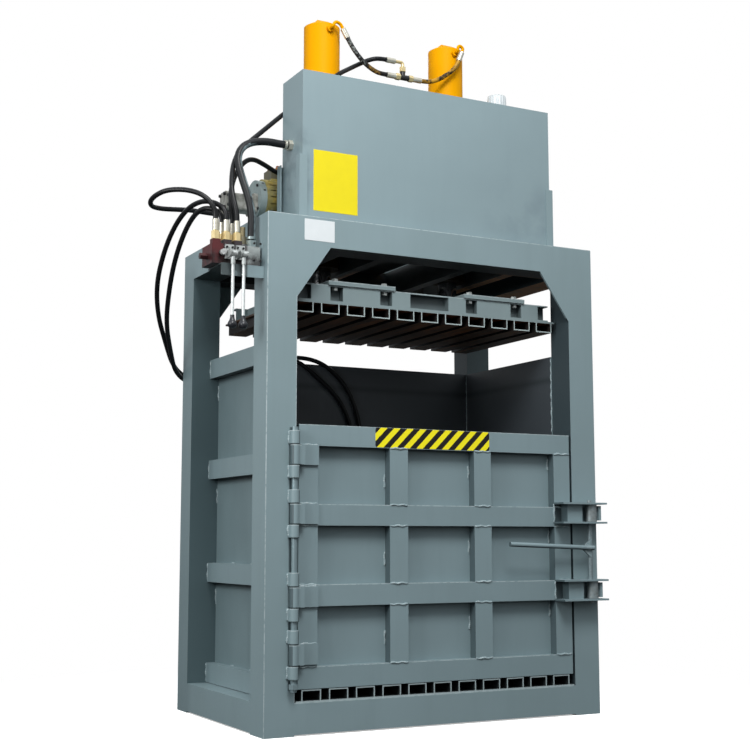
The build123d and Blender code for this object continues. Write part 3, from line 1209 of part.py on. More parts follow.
# Ends of the hoses at their fittings
PORT_TOP = VALVE_TOP + PORT_BOSS_HEIGHT
RETURN_END = VALVE_TOP + RETURN_HEX
BOSS_FRONT = CYLINDER_Y - BARREL_RADIUS - PORT_BOSS_RISE
BLOCK_Y = BOSS_FRONT - LOWER_BLOCK / 2
PUMP_UNDERSIDE = PUMP_LEVEL - PUMP_HEIGHT / 2 + VALVE_JOINT

# The hoses' routes are drawn by hand for the machine at its usual size, and each place
# moves with what it is near. These are the datums as drawn, and how far each has moved.
DRAWN_INNER = 670
DRAWN_CYLINDER = 331
DRAWN_MIDDLE = 500
DRAWN_REAR = 875
DRAWN_HEIGHT = 2075
DRAWN_BARREL_TOP = 3100
SIDE_SHIFT = INNER_X - DRAWN_INNER
CYLINDER_SHIFT = CYLINDER_X - DRAWN_CYLINDER
MIDDLE_SHIFT = CYLINDER_Y - DRAWN_MIDDLE
REAR_SHIFT = REAR_FACE_Y - DRAWN_REAR
HEIGHT_SHIFT = FRAME_HEIGHT - DRAWN_HEIGHT
BARREL_SHIFT = BARREL_TOP - DRAWN_BARREL_TOP

# Each pair is a place as drawn and its shift. Two places with one shift bound a stretch
# that keeps its length, so that a fitting and the end of its hose stay together.
ACROSS = (
    (-670, -SIDE_SHIFT),
    (-431, -CYLINDER_SHIFT),
    (-251, -CYLINDER_SHIFT),
    (-60, 0),
    (150, 0),
    (251, CYLINDER_SHIFT),
    (431, CYLINDER_SHIFT),
)
BACK = ((138, 0), (340, MIDDLE_SHIFT), (500, MIDDLE_SHIFT), (840, REAR_SHIFT))
UP = ((176, 0), (1690, HEIGHT_SHIFT), (2250, HEIGHT_SHIFT), (2880, BARREL_SHIFT))


def follow(value, stops):
    # The shift runs evenly from one place to the next and stays as it is past the ends
    shift = stops[0][1]
    for (low, low_shift), (high, high_shift) in zip(stops, stops[1:]):
        share = min(max((value - low) / (high - low), 0), 1)
        shift += share * (high_shift - low_shift)
    return value + shift


def carried(*points):
    return [(follow(x, ACROSS), follow(y, BACK), follow(z, UP)) for x, y, z in points]


RETURN_ROUTE = carried(
    (-640, 177, 2418), (-678, 177, 2418), (-733, 176, 2420), (-790, 173, 2411),
    (-834, 166, 2391), (-864, 158, 2359), (-876, 150, 2320), (-873, 140, 2277),
    (-864, 128, 2233), (-851, 113, 2178), (-838, 103, 2124), (-832, 98, 2070),
    (-834, 95, 2016), (-834, 95, 1965),
)
PUMP_ROUTE = carried(
    (-989, 95, 2040), (-989, 95, 2064), (-1001, 95, 2094), (-1022, 105, 2124),
    (-1056, 125, 2149), (-1106, 160, 2164), (-1160, 210, 2166), (-1191, 255, 2151),
    (-1199, 300, 2136), (-1180, 340, 2126),
)
# The rest of the pump hose moves with the pump, which stands by the left cylinder
PUMP_SHIFT = SIDE_SHIFT - CYLINDER_SHIFT
PUMP_ROUTE += [
    (x + PUMP_SHIFT, y, z)
    for x, y, z in carried(
        (-1133, 373, 2129), (-1065, 397, 2139), (-990, 413, 2149), (-930, 424, 2150),
        (-893, 430, 2150), (-862, 430, 2150),
    )
]
EJECTOR_ROUTE_1 = carried(
    (-943, 95, 2040), (-943, 95, 2066), (-955, 103, 2094), (-980, 138, 2120),
    (-1012, 195, 2136), (-1045, 265, 2120), (-1070, 350, 2066), (-1080, 460, 1978),
    (-1064, 610, 1862), (-1012, 745, 1748), (-930, 880, 1650), (-846, 1008, 1550),
    (-745, 1056, 1503), (-635, 1046, 1500), (-530, 1014, 1540), (-430, 968, 1592),
    (-350, 926, 1617), (-280, 894, 1622), (-215, 874, 1616), (-155, 862, 1597),
    (-95, 860, 1560), (-40, 860, 1508), (5, 860, 1440), (36, 860, 1360), (55, 860, 1270),
    (65, 860, 1170), (69, 860, 1070), (70, 861, 990), (70, 861, 930),
)
EJECTOR_ROUTE_2 = carried(
    (-943, 145, 2040), (-943, 145, 2062), (-955, 148, 2085), (-984, 165, 2101),
    (-1010, 200, 2104), (-1031, 248, 2080), (-1045, 320, 2020), (-1044, 430, 1932),
    (-1020, 570, 1829), (-978, 730, 1712), (-905, 880, 1612), (-835, 1008, 1522),
    (-745, 1030, 1480), (-640, 1020, 1476), (-545, 990, 1512), (-465, 958, 1572),
    (-390, 915, 1598), (-335, 885, 1608), (-285, 866, 1601), (-235, 860, 1572),
    (-180, 860, 1528), (-118, 860, 1480), (-62, 860, 1425), (-20, 860, 1355),
    (8, 860, 1270), (24, 860, 1170), (31, 860, 1070), (33, 861, 990), (33, 861, 930),
)
LIFT_ROUTE = carried(
    (-897, 95, 2040), (-897, 95, 2070), (-905, 100, 2112), (-915, 114, 2172),
    (-904, 143, 2242), (-882, 181, 2309), (-844, 210, 2378), (-768, 236, 2448),
    (-694, 266, 2516), (-615, 298, 2588), (-535, 308, 2660), (-450, 324, 2735),
    (-367, 340, 2800), (-312, 352, 2846), (-245, 388, 2891), (-184, 410, 2931),
    (-134, 412, 2960), (-90, 400, 2973), (-47, 400, 2973),
)
LOWER_ROUTE = carried(
    (-897, 145, 2040), (-897, 145, 2072), (-904, 148, 2118), (-901, 160, 2185),
    (-873, 190, 2260), (-822, 222, 2332), (-768, 252, 2362), (-700, 288, 2354),
    (-626, 316, 2332), (-560, 320, 2318), (-495, 326, 2312), (-435, 338, 2308),
    (-392, 356, 2300), (-360, 372, 2284), (-340, 384, 2261), (-331, 390, 2236),
    (-331, 390, 2209),
)
LEFT_CYLINDER_ROUTE = carried(
    (-255, 385, 3035), (-236, 384, 3002), (-209, 381, 2966), (-179, 380, 2935),
    (-143, 384, 2914), (-110, 393, 2905), (-80, 400, 2901), (-44, 400, 2901),
)
RIGHT_CYLINDER_ROUTE = carried(
    (336, 383, 3028), (325, 384, 3000), (301, 387, 2973), (271, 391, 2949),
    (240, 394, 2927), (206, 397, 2910), (170, 400, 2901), (138, 400, 2901),
)
HOSES = (
    ("return_hose", RETURN_ROUTE, RETURN_HOSE_RADIUS),
    ("pump_hose", PUMP_ROUTE, HOSE_RADIUS),
    ("ejector_hose_1", EJECTOR_ROUTE_1, HOSE_RADIUS),
    ("ejector_hose_2", EJECTOR_ROUTE_2, HOSE_RADIUS),
    ("lift_hose", LIFT_ROUTE, HOSE_RADIUS),
    ("lower_hose", LOWER_ROUTE, HOSE_RADIUS),
    ("left_cylinder_hose", LEFT_CYLINDER_ROUTE, HOSE_RADIUS),
    ("right_cylinder_hose", RIGHT_CYLINDER_ROUTE, HOSE_RADIUS),
)


def place(points):
    return [Vector(MID_X + x, FRONT_Y + y, z) for x, y, z in points]


# Each bend is as large as its two runs allow
BEND_SHARE = 0.45


def bend_radii(route):
    radii = []
    for before, corner, after in zip(route, route[1:], route[2:]):
        shorter = min((corner - before).length, (after - corner).length)
        turn = math.radians((corner - before).get_angle(after - corner))
        radii.append(BEND_SHARE * shorter / math.tan(turn / 2))
    return radii


def tube(points, radius):
    route = place(points)
    with BuildPart() as piece:
        with BuildLine():
            path = FilletPolyline(*route, radius=bend_radii(route))
        with BuildSketch(Plane(origin=route[0], z_dir=route[1] - route[0])):
            Circle(radius)
        sweep()
    return piece.part, path.length


for name, points, radius in HOSES:
    hose, length = tube(points, radius)
    fill = hose.volume / (math.pi * radius**2 * length)
    tightest = min(bend_radii(place(points)))
    print(f"{name}: length {length:.0f} mm, tightest bend {tightest:.0f} mm, volume ratio {fill:.4f}")
    finish(name, hose)

# Crimped ferrules on the ends of the seven pressure hoses
FERRULE_ENDS = [
    end
    for name, points, radius in HOSES[1:]
    for end in ((points[0], points[1]), (points[-1], points[-2]))
]
with BuildPart() as hose_ferrules:
    for end, inner in FERRULE_ENDS:
        start, last = place((end, inner))
        with BuildSketch(Plane(origin=start, z_dir=start - last)):
            Circle(FERRULE_RADIUS)
        extrude(amount=FERRULE_LENGTH)
finish("hose_ferrules", hose_ferrules.part)

with BuildPart() as pipe_fittings:
    # Tee between the lift hose and the two cylinder hoses
    with BuildSketch(side(TEE_LEFT)):
        with Locations((TEE_Y, TEE_Z)):
            Circle(TEE_RADIUS)
    extrude(amount=TEE_RIGHT - TEE_LEFT)
    with BuildSketch(plan(TEE_Z)):
        with Locations((TEE_BRANCH_X, TEE_Y)):
            Circle(TEE_RADIUS - 1)
    extrude(amount=TEE_BRANCH)
    # Blocks on the two lower ports, joined by a rigid pipe
    with BuildSketch(upright(BOSS_FRONT)):
        with Locations((-CYLINDER_X, LOWER_PORT_LEVEL), (CYLINDER_X, LOWER_PORT_LEVEL)):
            Rectangle(LOWER_BLOCK, LOWER_BLOCK)
    extrude(amount=LOWER_BLOCK)
    with BuildSketch(side(-CYLINDER_X)):
        with Locations((BLOCK_Y, LOWER_PORT_LEVEL)):
            Circle(PIPE_RADIUS)
    extrude(amount=2 * CYLINDER_X)
    # Elbow under the gear pump
    with BuildSketch(plan(PUMP_PORT_Z - PUMP_PORT_RADIUS)):
        with Locations((PUMP_PORT_X, MOTOR_Y)):
            Circle(PUMP_PORT_RADIUS)
    extrude(amount=PUMP_UNDERSIDE - PUMP_PORT_Z + PUMP_PORT_RADIUS)
    with BuildSketch(side(PUMP_ROUTE[-1][0] + FERRULE_LENGTH)):
        with Locations((MOTOR_Y, PUMP_PORT_Z)):
            Circle(PUMP_PORT_RADIUS - 1)
    extrude(amount=PUMP_PORT_X - PUMP_ROUTE[-1][0] - FERRULE_LENGTH)
    # Bulkhead block on the rear wall, under the ends of the two ejector hoses
    with BuildSketch(plan(EJECTOR_ROUTE_1[-1][2] - FERRULE_LENGTH - BULKHEAD_HEIGHT)):
        with Locations(((BULKHEAD_LEFT + BULKHEAD_RIGHT) / 2, REAR_FACE_Y - BULKHEAD_DEPTH / 2)):
            Rectangle(BULKHEAD_RIGHT - BULKHEAD_LEFT, BULKHEAD_DEPTH)
    extrude(amount=BULKHEAD_HEIGHT)
finish("pipe_fittings", pipe_fittings.part)

# Bent pipe ends: two over the cylinder heads and one above the tee
def behind(points, distance):
    # A point on the ferrule's axis, the given distance behind the hose's first point
    start = Vector(points[0])
    return tuple(start + (start - Vector(points[1])).normalized() * distance)


HEAD_BEND_OUT = 24.0
LEFT_ELBOW = [
    (-CYLINDER_X, BOSS_FRONT, PORT_LEVEL),
    (-CYLINDER_X, BOSS_FRONT - ELBOW_OUT, PORT_LEVEL),
    *carried((-318, 381, 3102)),
    behind(LEFT_CYLINDER_ROUTE, FERRULE_LENGTH + HEAD_BEND_OUT),
    behind(LEFT_CYLINDER_ROUTE, FERRULE_LENGTH),
]
RIGHT_ELBOW = [
    (CYLINDER_X, BOSS_FRONT, PORT_LEVEL),
    (CYLINDER_X, BOSS_FRONT - ELBOW_OUT, PORT_LEVEL),
    *carried((334, 379, 3106)),
    behind(RIGHT_CYLINDER_ROUTE, FERRULE_LENGTH + HEAD_BEND_OUT),
    behind(RIGHT_CYLINDER_ROUTE, FERRULE_LENGTH),
]
TEE_ELBOW = [
    (TEE_BRANCH_X, TEE_Y, TEE_Z + TEE_BRANCH + TEE_NUT),
    (TEE_BRANCH_X, TEE_Y, LIFT_ROUTE[-1][2]),
    (LIFT_ROUTE[-1][0] + FERRULE_LENGTH, TEE_Y, LIFT_ROUTE[-1][2]),
]
left_elbow, _ = tube(LEFT_ELBOW, PIPE_RADIUS)
right_elbow, _ = tube(RIGHT_ELBOW, PIPE_RADIUS)
finish("head_elbows", Compound(children=[left_elbow, right_elbow]))
tee_elbow, _ = tube(TEE_ELBOW, PIPE_RADIUS)

# Swivel nuts and rings at the valve and at the tee, with the bent pipe over the tee
VALVE_HOSE_PORTS = [(INLET_X, FRONT_PORT_Y)] + [
    (x, y) for x in SPOOL_XS for y in (FRONT_PORT_Y, REAR_PORT_Y)
]
with BuildPart() as port_adapters:
    with BuildSketch(plan(PORT_TOP)):
        with Locations(VALVE_HOSE_PORTS + [(SPARE_PORT_X, REAR_PORT_Y)]):
            RegularPolygon(NUT_RADIUS, 6)
    extrude(amount=NUT_HEIGHT)
    with BuildSketch(plan(PORT_TOP + NUT_HEIGHT)):
        with Locations(VALVE_HOSE_PORTS):
            Circle(RING_RADIUS)
    extrude(amount=RING_HEIGHT)
    # Plug on the spare port
    with BuildSketch(plan(PORT_TOP + NUT_HEIGHT)):
        with Locations((SPARE_PORT_X, REAR_PORT_Y)):
            Circle(SPARE_PLUG_RADIUS)
    extrude(amount=SPARE_PLUG)
    for x in (TEE_LEFT - TEE_NUT, TEE_RIGHT):
        with BuildSketch(side(x)):
            with Locations((TEE_Y, TEE_Z)):
                RegularPolygon(TEE_NUT_RADIUS, 6)
        extrude(amount=TEE_NUT)
    with BuildSketch(plan(TEE_Z + TEE_BRANCH)):
        with Locations((TEE_BRANCH_X, TEE_Y)):
            RegularPolygon(TEE_NUT_RADIUS, 6)
    extrude(amount=TEE_NUT)
    add(tee_elbow)
finish("port_adapters", port_adapters.part)

# Return line: fittings and clamps at the valve and at the tank
with BuildPart() as return_fittings:
    with BuildSketch(plan(VALVE_TOP)):
        with Locations((OUTLET_X, FRONT_PORT_Y)):
            RegularPolygon(RETURN_HEX_RADIUS, 6)
    extrude(amount=RETURN_HEX)
    with BuildSketch(plan(RETURN_END + CLAMP_GAP)):
        with Locations((OUTLET_X, FRONT_PORT_Y)):
            Circle(CLAMP_RADIUS)
            Circle(RETURN_HOSE_RADIUS, mode=Mode.SUBTRACT)
    extrude(amount=CLAMP_WIDTH)
    with BuildSketch(side(-TANK_HALF_WIDTH - TANK_HEX)):
        with Locations((RETURN_PORT_Y, RETURN_PORT_LEVEL)):
            RegularPolygon(RETURN_HEX_RADIUS, 6)
    extrude(amount=TANK_HEX)
    with BuildSketch(side(-TANK_HALF_WIDTH - TANK_HEX - CLAMP_GAP - CLAMP_WIDTH)):
        with Locations((RETURN_PORT_Y, RETURN_PORT_LEVEL)):
            Circle(CLAMP_RADIUS)
            Circle(RETURN_HOSE_RADIUS, mode=Mode.SUBTRACT)
    extrude(amount=CLAMP_WIDTH)
finish("return_fittings", return_fittings.part)
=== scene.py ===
# %% [markdown]
# # A vertical recycling baler, dressed for the studio
# The steel frame, the door, the press and the hydraulics come from the imported CAD
# model, piece by piece. This file adds what a photograph shows and a plain solid can't:
# paint, wear, welds, hoses that hang in smooth curves, stickers and small hardware.
# Everything is in metres: +X to the right of someone who faces the door, -Y towards them,
# +Z up, with the floor at zero.

# %% Load the imported model
import json
import math

import bmesh
import bpy
import numpy as np
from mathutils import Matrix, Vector


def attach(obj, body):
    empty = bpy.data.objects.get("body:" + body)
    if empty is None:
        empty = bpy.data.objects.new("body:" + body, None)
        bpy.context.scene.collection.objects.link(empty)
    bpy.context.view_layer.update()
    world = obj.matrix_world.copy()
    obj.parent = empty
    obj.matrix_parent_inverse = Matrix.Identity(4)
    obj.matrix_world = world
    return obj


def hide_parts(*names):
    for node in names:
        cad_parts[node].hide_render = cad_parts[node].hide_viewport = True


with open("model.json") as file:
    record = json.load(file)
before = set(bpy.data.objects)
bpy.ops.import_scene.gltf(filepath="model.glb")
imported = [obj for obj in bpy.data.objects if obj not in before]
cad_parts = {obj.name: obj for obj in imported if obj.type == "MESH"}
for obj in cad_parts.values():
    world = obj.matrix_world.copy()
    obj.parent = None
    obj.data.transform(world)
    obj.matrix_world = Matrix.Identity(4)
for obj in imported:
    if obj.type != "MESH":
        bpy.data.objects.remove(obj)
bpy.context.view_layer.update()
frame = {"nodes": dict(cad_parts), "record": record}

# %% [markdown]
# ## Where things are
# The drawing of the machine counts millimetres from the middle of the frame's front edge
# on the floor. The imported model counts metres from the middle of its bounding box. One
# small function goes from the first to the second, so every place below can be read off
# the drawing.

# %% From the drawing to the scene
ORIGIN_MM = np.array([-120.0, 463.0, 0.0])


def at(*point):
    """A point of the drawing, in millimetres, as metres in the scene: the origin is taken
    off and the rest divided by a thousand. It takes one point or an array of them."""
    points = point[0] if len(point) == 1 else point
    return (np.asarray(points, dtype=float) - ORIGIN_MM) / 1000


print("front left foot at", at(-800, 0, 0))

# %% [markdown]
# Some places of the drawing serve both masks and welds: the height of each door rail,
# hinge leaf and latch housing, and of each bar of the side walls, and where the door's
# upright stiles stand.

# %% Places of the drawing, in millimetres
RAIL_LEVELS = (221.0, 539.33, 857.67, 1176.0)
HALF_RAIL = 42.5
STILE_XS = (-616, -204, 204, 616)
HALF_STILE = 42.5
LATCH_LEVELS = (539.33, 874.17)
HALF_LATCH = 41
HINGE_LEVELS = (312.97, 535.32, 860.74, 1095.05)
BAR_LEVELS = (172.0, 613.3, 1073.6, 1534.0)
print(len(RAIL_LEVELS), "door rails,", len(HINGE_LEVELS), "hinge leaves")

# %% [markdown]
# ## Colours and nodes
# Paint and plastic are picked as sRGB hex values, the way a paint chart gives them.
# Blender's shaders want linear light, so one function turns the one into the other.
# Every node in this file comes from one more small function. It adds the node with its
# settings and links, and hands back the output that the next node reads.

# %% Hex colour to linear, and one way to add a node
def linear(hex_colour):
    """The sRGB curve undone per channel: low values are divided by 12.92, the rest go
    through the 2.4 power. Returns four numbers, the last of them opaque."""
    digits = hex_colour.lstrip("#")
    values = np.array([int(digits[i:i + 2], 16) for i in (0, 2, 4)]) / 255
    low = values / 12.92
    high = ((values + 0.055) / 1.055) ** 2.4
    return (*np.where(values <= 0.04045, low, high), 1.0)


def feed(node, links):
    """Sets inputs of a node. links maps a socket's name or number to a value or to the
    output that feeds it."""
    for key, value in links.items():
        if isinstance(value, bpy.types.NodeSocket):
            node.id_data.links.new(value, node.inputs[key])
        else:
            node.inputs[key].default_value = value


def add(owner, kind, links=None, out=0, **settings):
    """Adds a node of a kind, such as TexNoise, to a material or the world. The settings are
    its own options, links feed it, and out is the output to return."""
    node = owner.node_tree.nodes.new("ShaderNode" + kind)
    for key, value in settings.items():
        setattr(node, key, value)
    feed(node, links or {})
    return node.outputs[out] if node.outputs else None


def emptied(block):
    """Switches on the nodes of a material or the world, and clears them."""
    block.use_nodes = True
    block.node_tree.nodes.clear()
    return block


def finish_of(name):
    """A new empty material with its shader and output joined up."""
    material = emptied(bpy.data.materials.new(name))
    skin = add(material, "BsdfPrincipled")
    add(material, "OutputMaterial", {"Surface": skin})
    return material, skin.node


def put(name, data):
    """A new object for a mesh, curve, lamp or camera, linked to the scene."""
    thing = bpy.data.objects.new(name, data)
    bpy.context.scene.collection.objects.link(thing)
    return thing


print("middle grey is", [round(v, 3) for v in linear("#808080")])

# %% [markdown]
# ## The camera
# The photograph was taken from the left of the door, low down, with the camera tipped up
# a little. Its place and its lens were worked out from the straight edges of the frame,
# which all run along three known directions.

# %% Camera
LENS_MM = 62.72
CAMERA_PLACE = (-2.681, -5.220, 0.761)
CAMERA_TURN = (97.158, 0.038, -27.58)    # degrees
camera_data = bpy.data.cameras.new("studio_camera")
camera_data.sensor_width = 36.0
camera_data.lens = LENS_MM
camera = put("studio_camera", camera_data)
camera.location = CAMERA_PLACE
camera.rotation_euler = [math.radians(angle) for angle in CAMERA_TURN]
bpy.context.scene.camera = camera
bpy.context.scene.view_settings.view_transform = "Standard"
print("camera at", tuple(round(v, 3) for v in camera.location))

# %% [markdown]
# ## The studio
# The photograph has soft light from above and a little to the left, hardly any from
# below, and no background at all. The world is a dome that is bright overhead and dim
# underfoot. A large panel above the front casts the shadows under each rail, which painted
# shade on the door makes darker, and a weaker one lights the left side. Light Path tells
# the camera's own rays from the rest: only they see a white world and a white floor. Rays
# that carry light or mirror it see the dome and a dull grey floor, so undersides and dark
# gloss stay dark, and painted shade darkens the undersides further.

# %% A dome of light
DOME = (0.1, 1.12)              # strength underfoot and overhead
DOME_HEIGHTS = (-0.3, 0.75)     # between these heights of a ray's direction it grows
WHITE = (1, 1, 1, 1)
world = emptied(bpy.data.worlds.new("pale_studio"))
bpy.context.scene.world = world
direction = add(world, "TexCoord", out="Generated")
height = add(world, "SeparateXYZ", {0: direction}, out="Z")
dome = add(world, "MapRange",
           {"Value": height, "From Min": DOME_HEIGHTS[0], "From Max": DOME_HEIGHTS[1],
            "To Min": DOME[0], "To Max": DOME[1]})
base_light = add(world, "Background", {"Color": linear("#EDF1F4"), "Strength": dome})
seen_white = add(world, "Background", {"Color": WHITE, "Strength": 1.0})
by_camera = add(world, "LightPath", out="Is Camera Ray")
shown = add(world, "MixShader", {0: by_camera, 1: base_light, 2: seen_white})
add(world, "OutputWorld", {"Surface": shown})
print("the dome runs from", DOME[0], "to", DOME[1])

# %% Lamps
def panel(name, place, target, size, power):
    """A square soft lamp at place, turned so that its -Z looks at target."""
    data = bpy.data.lights.new(name, "AREA")
    data.size = size
    data.energy = power
    lamp = put(name, data)
    lamp.location = place
    lamp.rotation_euler = (Vector(target) - Vector(place)).to_track_quat("-Z", "Y").to_euler()


panel("overhead_front_panel", place=(-1.0, -3.2, 4.9), target=(0.0, -0.2, 1.9), size=1.7,
      power=186)
panel("left_panel", place=(-3.8, -1.5, 2.2), target=(-0.7, 0.2, 0.9), size=1.6, power=78)
panel("back_panel", place=(1.8, 4.6, 4.4), target=(0, 0, 2.0), size=2.6, power=70)
print("three lamps")

# %% [markdown]
# ## The floor
# The floor is paper. Close to the machine the camera sees it lit, with the machine's
# soft shadow, and further out it runs into plain white, so that no horizon shows.

# %% Floor
SHADOW_REACH = (0.9, 2.4)       # metres from the middle: from lit paper to plain white
SHADOW_LIFT = 0.45              # light that the paper gives off, so its shadow stays faint
FLOOR_SIZE = 60

floor_paper = emptied(bpy.data.materials.new("studio paper, matt white"))
lit_paper = add(floor_paper, "BsdfDiffuse", {"Color": linear("#F4F4F2")})
lift = add(floor_paper, "Emission", {"Color": WHITE, "Strength": SHADOW_LIFT})
close_by = add(floor_paper, "AddShader", {0: lit_paper, 1: lift})
far_off = add(floor_paper, "Emission", {"Color": WHITE, "Strength": 1.0})
place = add(floor_paper, "TexCoord", out="Object")
away = add(floor_paper, "VectorMath", {0: place}, out="Value", operation="LENGTH")
fade = add(floor_paper, "MapRange",
           {"Value": away, "From Min": SHADOW_REACH[0], "From Max": SHADOW_REACH[1]},
           interpolation_type="SMOOTHSTEP")
shown = add(floor_paper, "MixShader", {0: fade, 1: close_by, 2: far_off})
dull = add(floor_paper, "BsdfDiffuse", {"Color": linear("#3C3C3C")})
by_camera = add(floor_paper, "LightPath", out="Is Camera Ray")
paper = add(floor_paper, "MixShader", {0: by_camera, 1: dull, 2: shown})
add(floor_paper, "OutputMaterial", {"Surface": paper})
bpy.ops.mesh.primitive_plane_add(size=FLOOR_SIZE)
floor = bpy.context.object
floor.name = "studio_floor"
floor.data.materials.append(floor_paper)
print("the shadow fades between", SHADOW_REACH, "metres")

# %% [markdown]
# ## Masks
# One sprayed machine has one paint, but not one colour: pale lines are painted on its
# edges as highlights, painted shade darkens insides and undersides, and undersides show
# primer. Each of those places is a zone of the drawing, so a mask needs no painting: it
# compares the point's own X, Y and Z with two limits. Every piece stands at the origin, so
# its Object coordinates are places in the scene. Other masks tell which way a face looks,
# mark thin lines at given heights and break an edge up with noise.

# %% Zones, facings, lines and lumps
AXES = {"x": 0, "y": 1, "z": 2}


def within(material, soft=0.4, **spans):
    """1 inside the given spans of the drawing, in millimetres, and 0 outside. Each limit is
    a ramp, soft millimetres wide, and the ramps are multiplied."""
    place = add(material, "TexCoord", out="Object")
    mask = 1.0
    for axis, limits in spans.items():
        number = AXES[axis]
        part = add(material, "SeparateXYZ", {0: place}, out=number)
        for limit, sign in zip(limits, (1, -1)):
            if limit is None:
                continue
            edge = (limit - ORIGIN_MM[number]) / 1000
            half = sign * soft / 2000
            step = add(material, "MapRange",
                       {"Value": part, "From Min": edge - half, "From Max": edge + half})
            mask = add(material, "Math", {0: mask, 1: step}, operation="MULTIPLY")
    return mask


def facing(material, axis, sign, limit=0.6):
    """1 where the surface looks along an axis: its normal's part along it beats limit."""
    normal = add(material, "NewGeometry", out="True Normal")
    part = add(material, "SeparateXYZ", {0: normal}, out=AXES[axis])
    turned = add(material, "Math", {0: part, 1: sign}, operation="MULTIPLY")
    return add(material, "Math", {0: turned, 1: limit}, operation="GREATER_THAN")


def near(material, axis, places, half):
    """1 where the point is within half millimetres of one of the places along an axis."""
    number = AXES[axis]
    place = add(material, "TexCoord", out="Object")
    part = add(material, "SeparateXYZ", {0: place}, out=number)
    mask = 0.0
    for value in places:
        level = (value - ORIGIN_MM[number]) / 1000
        line = add(material, "Math", {0: part, 1: level, 2: half / 1000}, operation="COMPARE")
        mask = add(material, "Math", {0: mask, 1: line}, operation="MAXIMUM")
    return mask


def ragged(material, size, low, high, stretch=(1, 1, 1)):
    """Noise with lumps of size millimetres, cut to 0 below low and to 1 above high."""
    place = add(material, "TexCoord", out="Object")
    scale = [1000 / size * share for share in stretch]
    stretched = add(material, "Mapping", {"Vector": place, "Scale": scale})
    lumps = add(material, "TexNoise",
                {"Vector": stretched, "Scale": 1.0, "Detail": 4.0, "Roughness": 0.6})
    return add(material, "MapRange", {"Value": lumps, "From Min": low, "From Max": high})


print("four kinds of mask")

# %% [markdown]
# Dirt, primer, overspray, painted shade and painted highlights lie on top of the first
# coat. One function lays a colour over what is there wherever all its masks are 1. Another
# makes the usual masks as well, so that most places take one line.

# %% A colour laid over what is there
def overlay(material, hex_colour, strength, *masks):
    """Lays a colour over what the shader shows so far. Its share is the strength times
    every mask."""
    share = strength
    for mask in masks:
        share = add(material, "Math", {0: share, 1: mask}, operation="MULTIPLY")
    shader = next(n for n in material.node_tree.nodes if n.type == "BSDF_PRINCIPLED")
    below = shader.inputs["Base Color"].links[0].from_socket
    colour = add(material, "Mix", {"Factor": share, 6: below, 7: linear(hex_colour)}, out=2,
                 data_type="RGBA")
    feed(shader, {"Base Color": colour})


def patch(material, hex_colour, strength, soft=0.4, look=None, lumps=None, **spans):
    """An overlay in one go: within the spans, on faces that look along look, with noise
    for its outline where lumps is given. What is left out sets no bounds."""
    masks = [within(material, soft, **spans)]
    if look:
        masks.append(facing(material, *look))
    if lumps:
        masks.append(ragged(material, *lumps))
    overlay(material, hex_colour, strength, *masks)


print("overlays ready")

# %% [markdown]
# ## Painted steel
# Nearly the whole machine is mild steel sprayed with one coat of blue-grey alkyd enamel
# over primer. Such paint is satin, a little uneven where the gun passed twice, with fine
# orange peel, and it collects dust and rubs. A dielectric of IOR 1.5 stands for the
# binder. Cloudy noise about 0.4 m wide moves the colour a little, finer noise about 8 mm
# wide moves the roughness, and a weak bump about 2 mm wide gives the orange peel. Long
# faint runs, ten times as tall as wide, are where the coat was thicker. The yellow of the
# cylinders is a saturated gloss coat that hardly mirrors, the motor's is a hammer paint,
# and the valve was dipped in maroon.

# %% Paint
CLOUD_MM = 416.7
CLOUD_EDGES = (0.3, 0.7)        # of the noise, where a cloud starts and is full
SHEEN_MM = 8.33
SHEEN_SWING = (-0.06, 0.08)     # of the roughness
PEEL_MM = 2.38
PEEL_DEPTH = 0.0006             # metres


def enamel(name, main, shade, roughness=0.42, cloud=0.5, peel=0.06, runs=0.25, gloss=0.4):
    """Sprayed enamel. The colour runs between main and shade with clouds of a few
    decimetres and with thin upright runs, and gloss is how much it mirrors."""
    material, shader = finish_of(name)
    place = add(material, "TexCoord", out="Object")
    wide = add(material, "TexNoise", {"Vector": place, "Scale": 1000 / CLOUD_MM,
                                      "Detail": 3.0, "Roughness": 0.55})
    fine = add(material, "TexNoise", {"Vector": place, "Scale": 1000 / SHEEN_MM})
    grain = add(material, "TexNoise",
                {"Vector": place, "Scale": 1000 / PEEL_MM, "Detail": 1.0})
    clouds = add(material, "MapRange", {"Value": wide, "From Min": CLOUD_EDGES[0],
                                        "From Max": CLOUD_EDGES[1], "To Max": cloud})
    colour = add(material, "Mix", {"Factor": clouds, 6: linear(main), 7: linear(shade)},
                 out=2, data_type="RGBA")
    sheen = add(material, "MapRange", {"Value": fine, "To Min": roughness + SHEEN_SWING[0],
                                       "To Max": roughness + SHEEN_SWING[1]})
    bump = add(material, "Bump", {"Strength": peel, "Distance": PEEL_DEPTH, "Height": grain})
    feed(shader, {"Base Color": colour, "Roughness": sheen, "Normal": bump, "IOR": 1.5,
                  "Specular IOR Level": gloss})
    if runs:
        patch(material, shade, runs, lumps=(60, 0.48, 0.7, (1, 1, 0.1)))
    return material


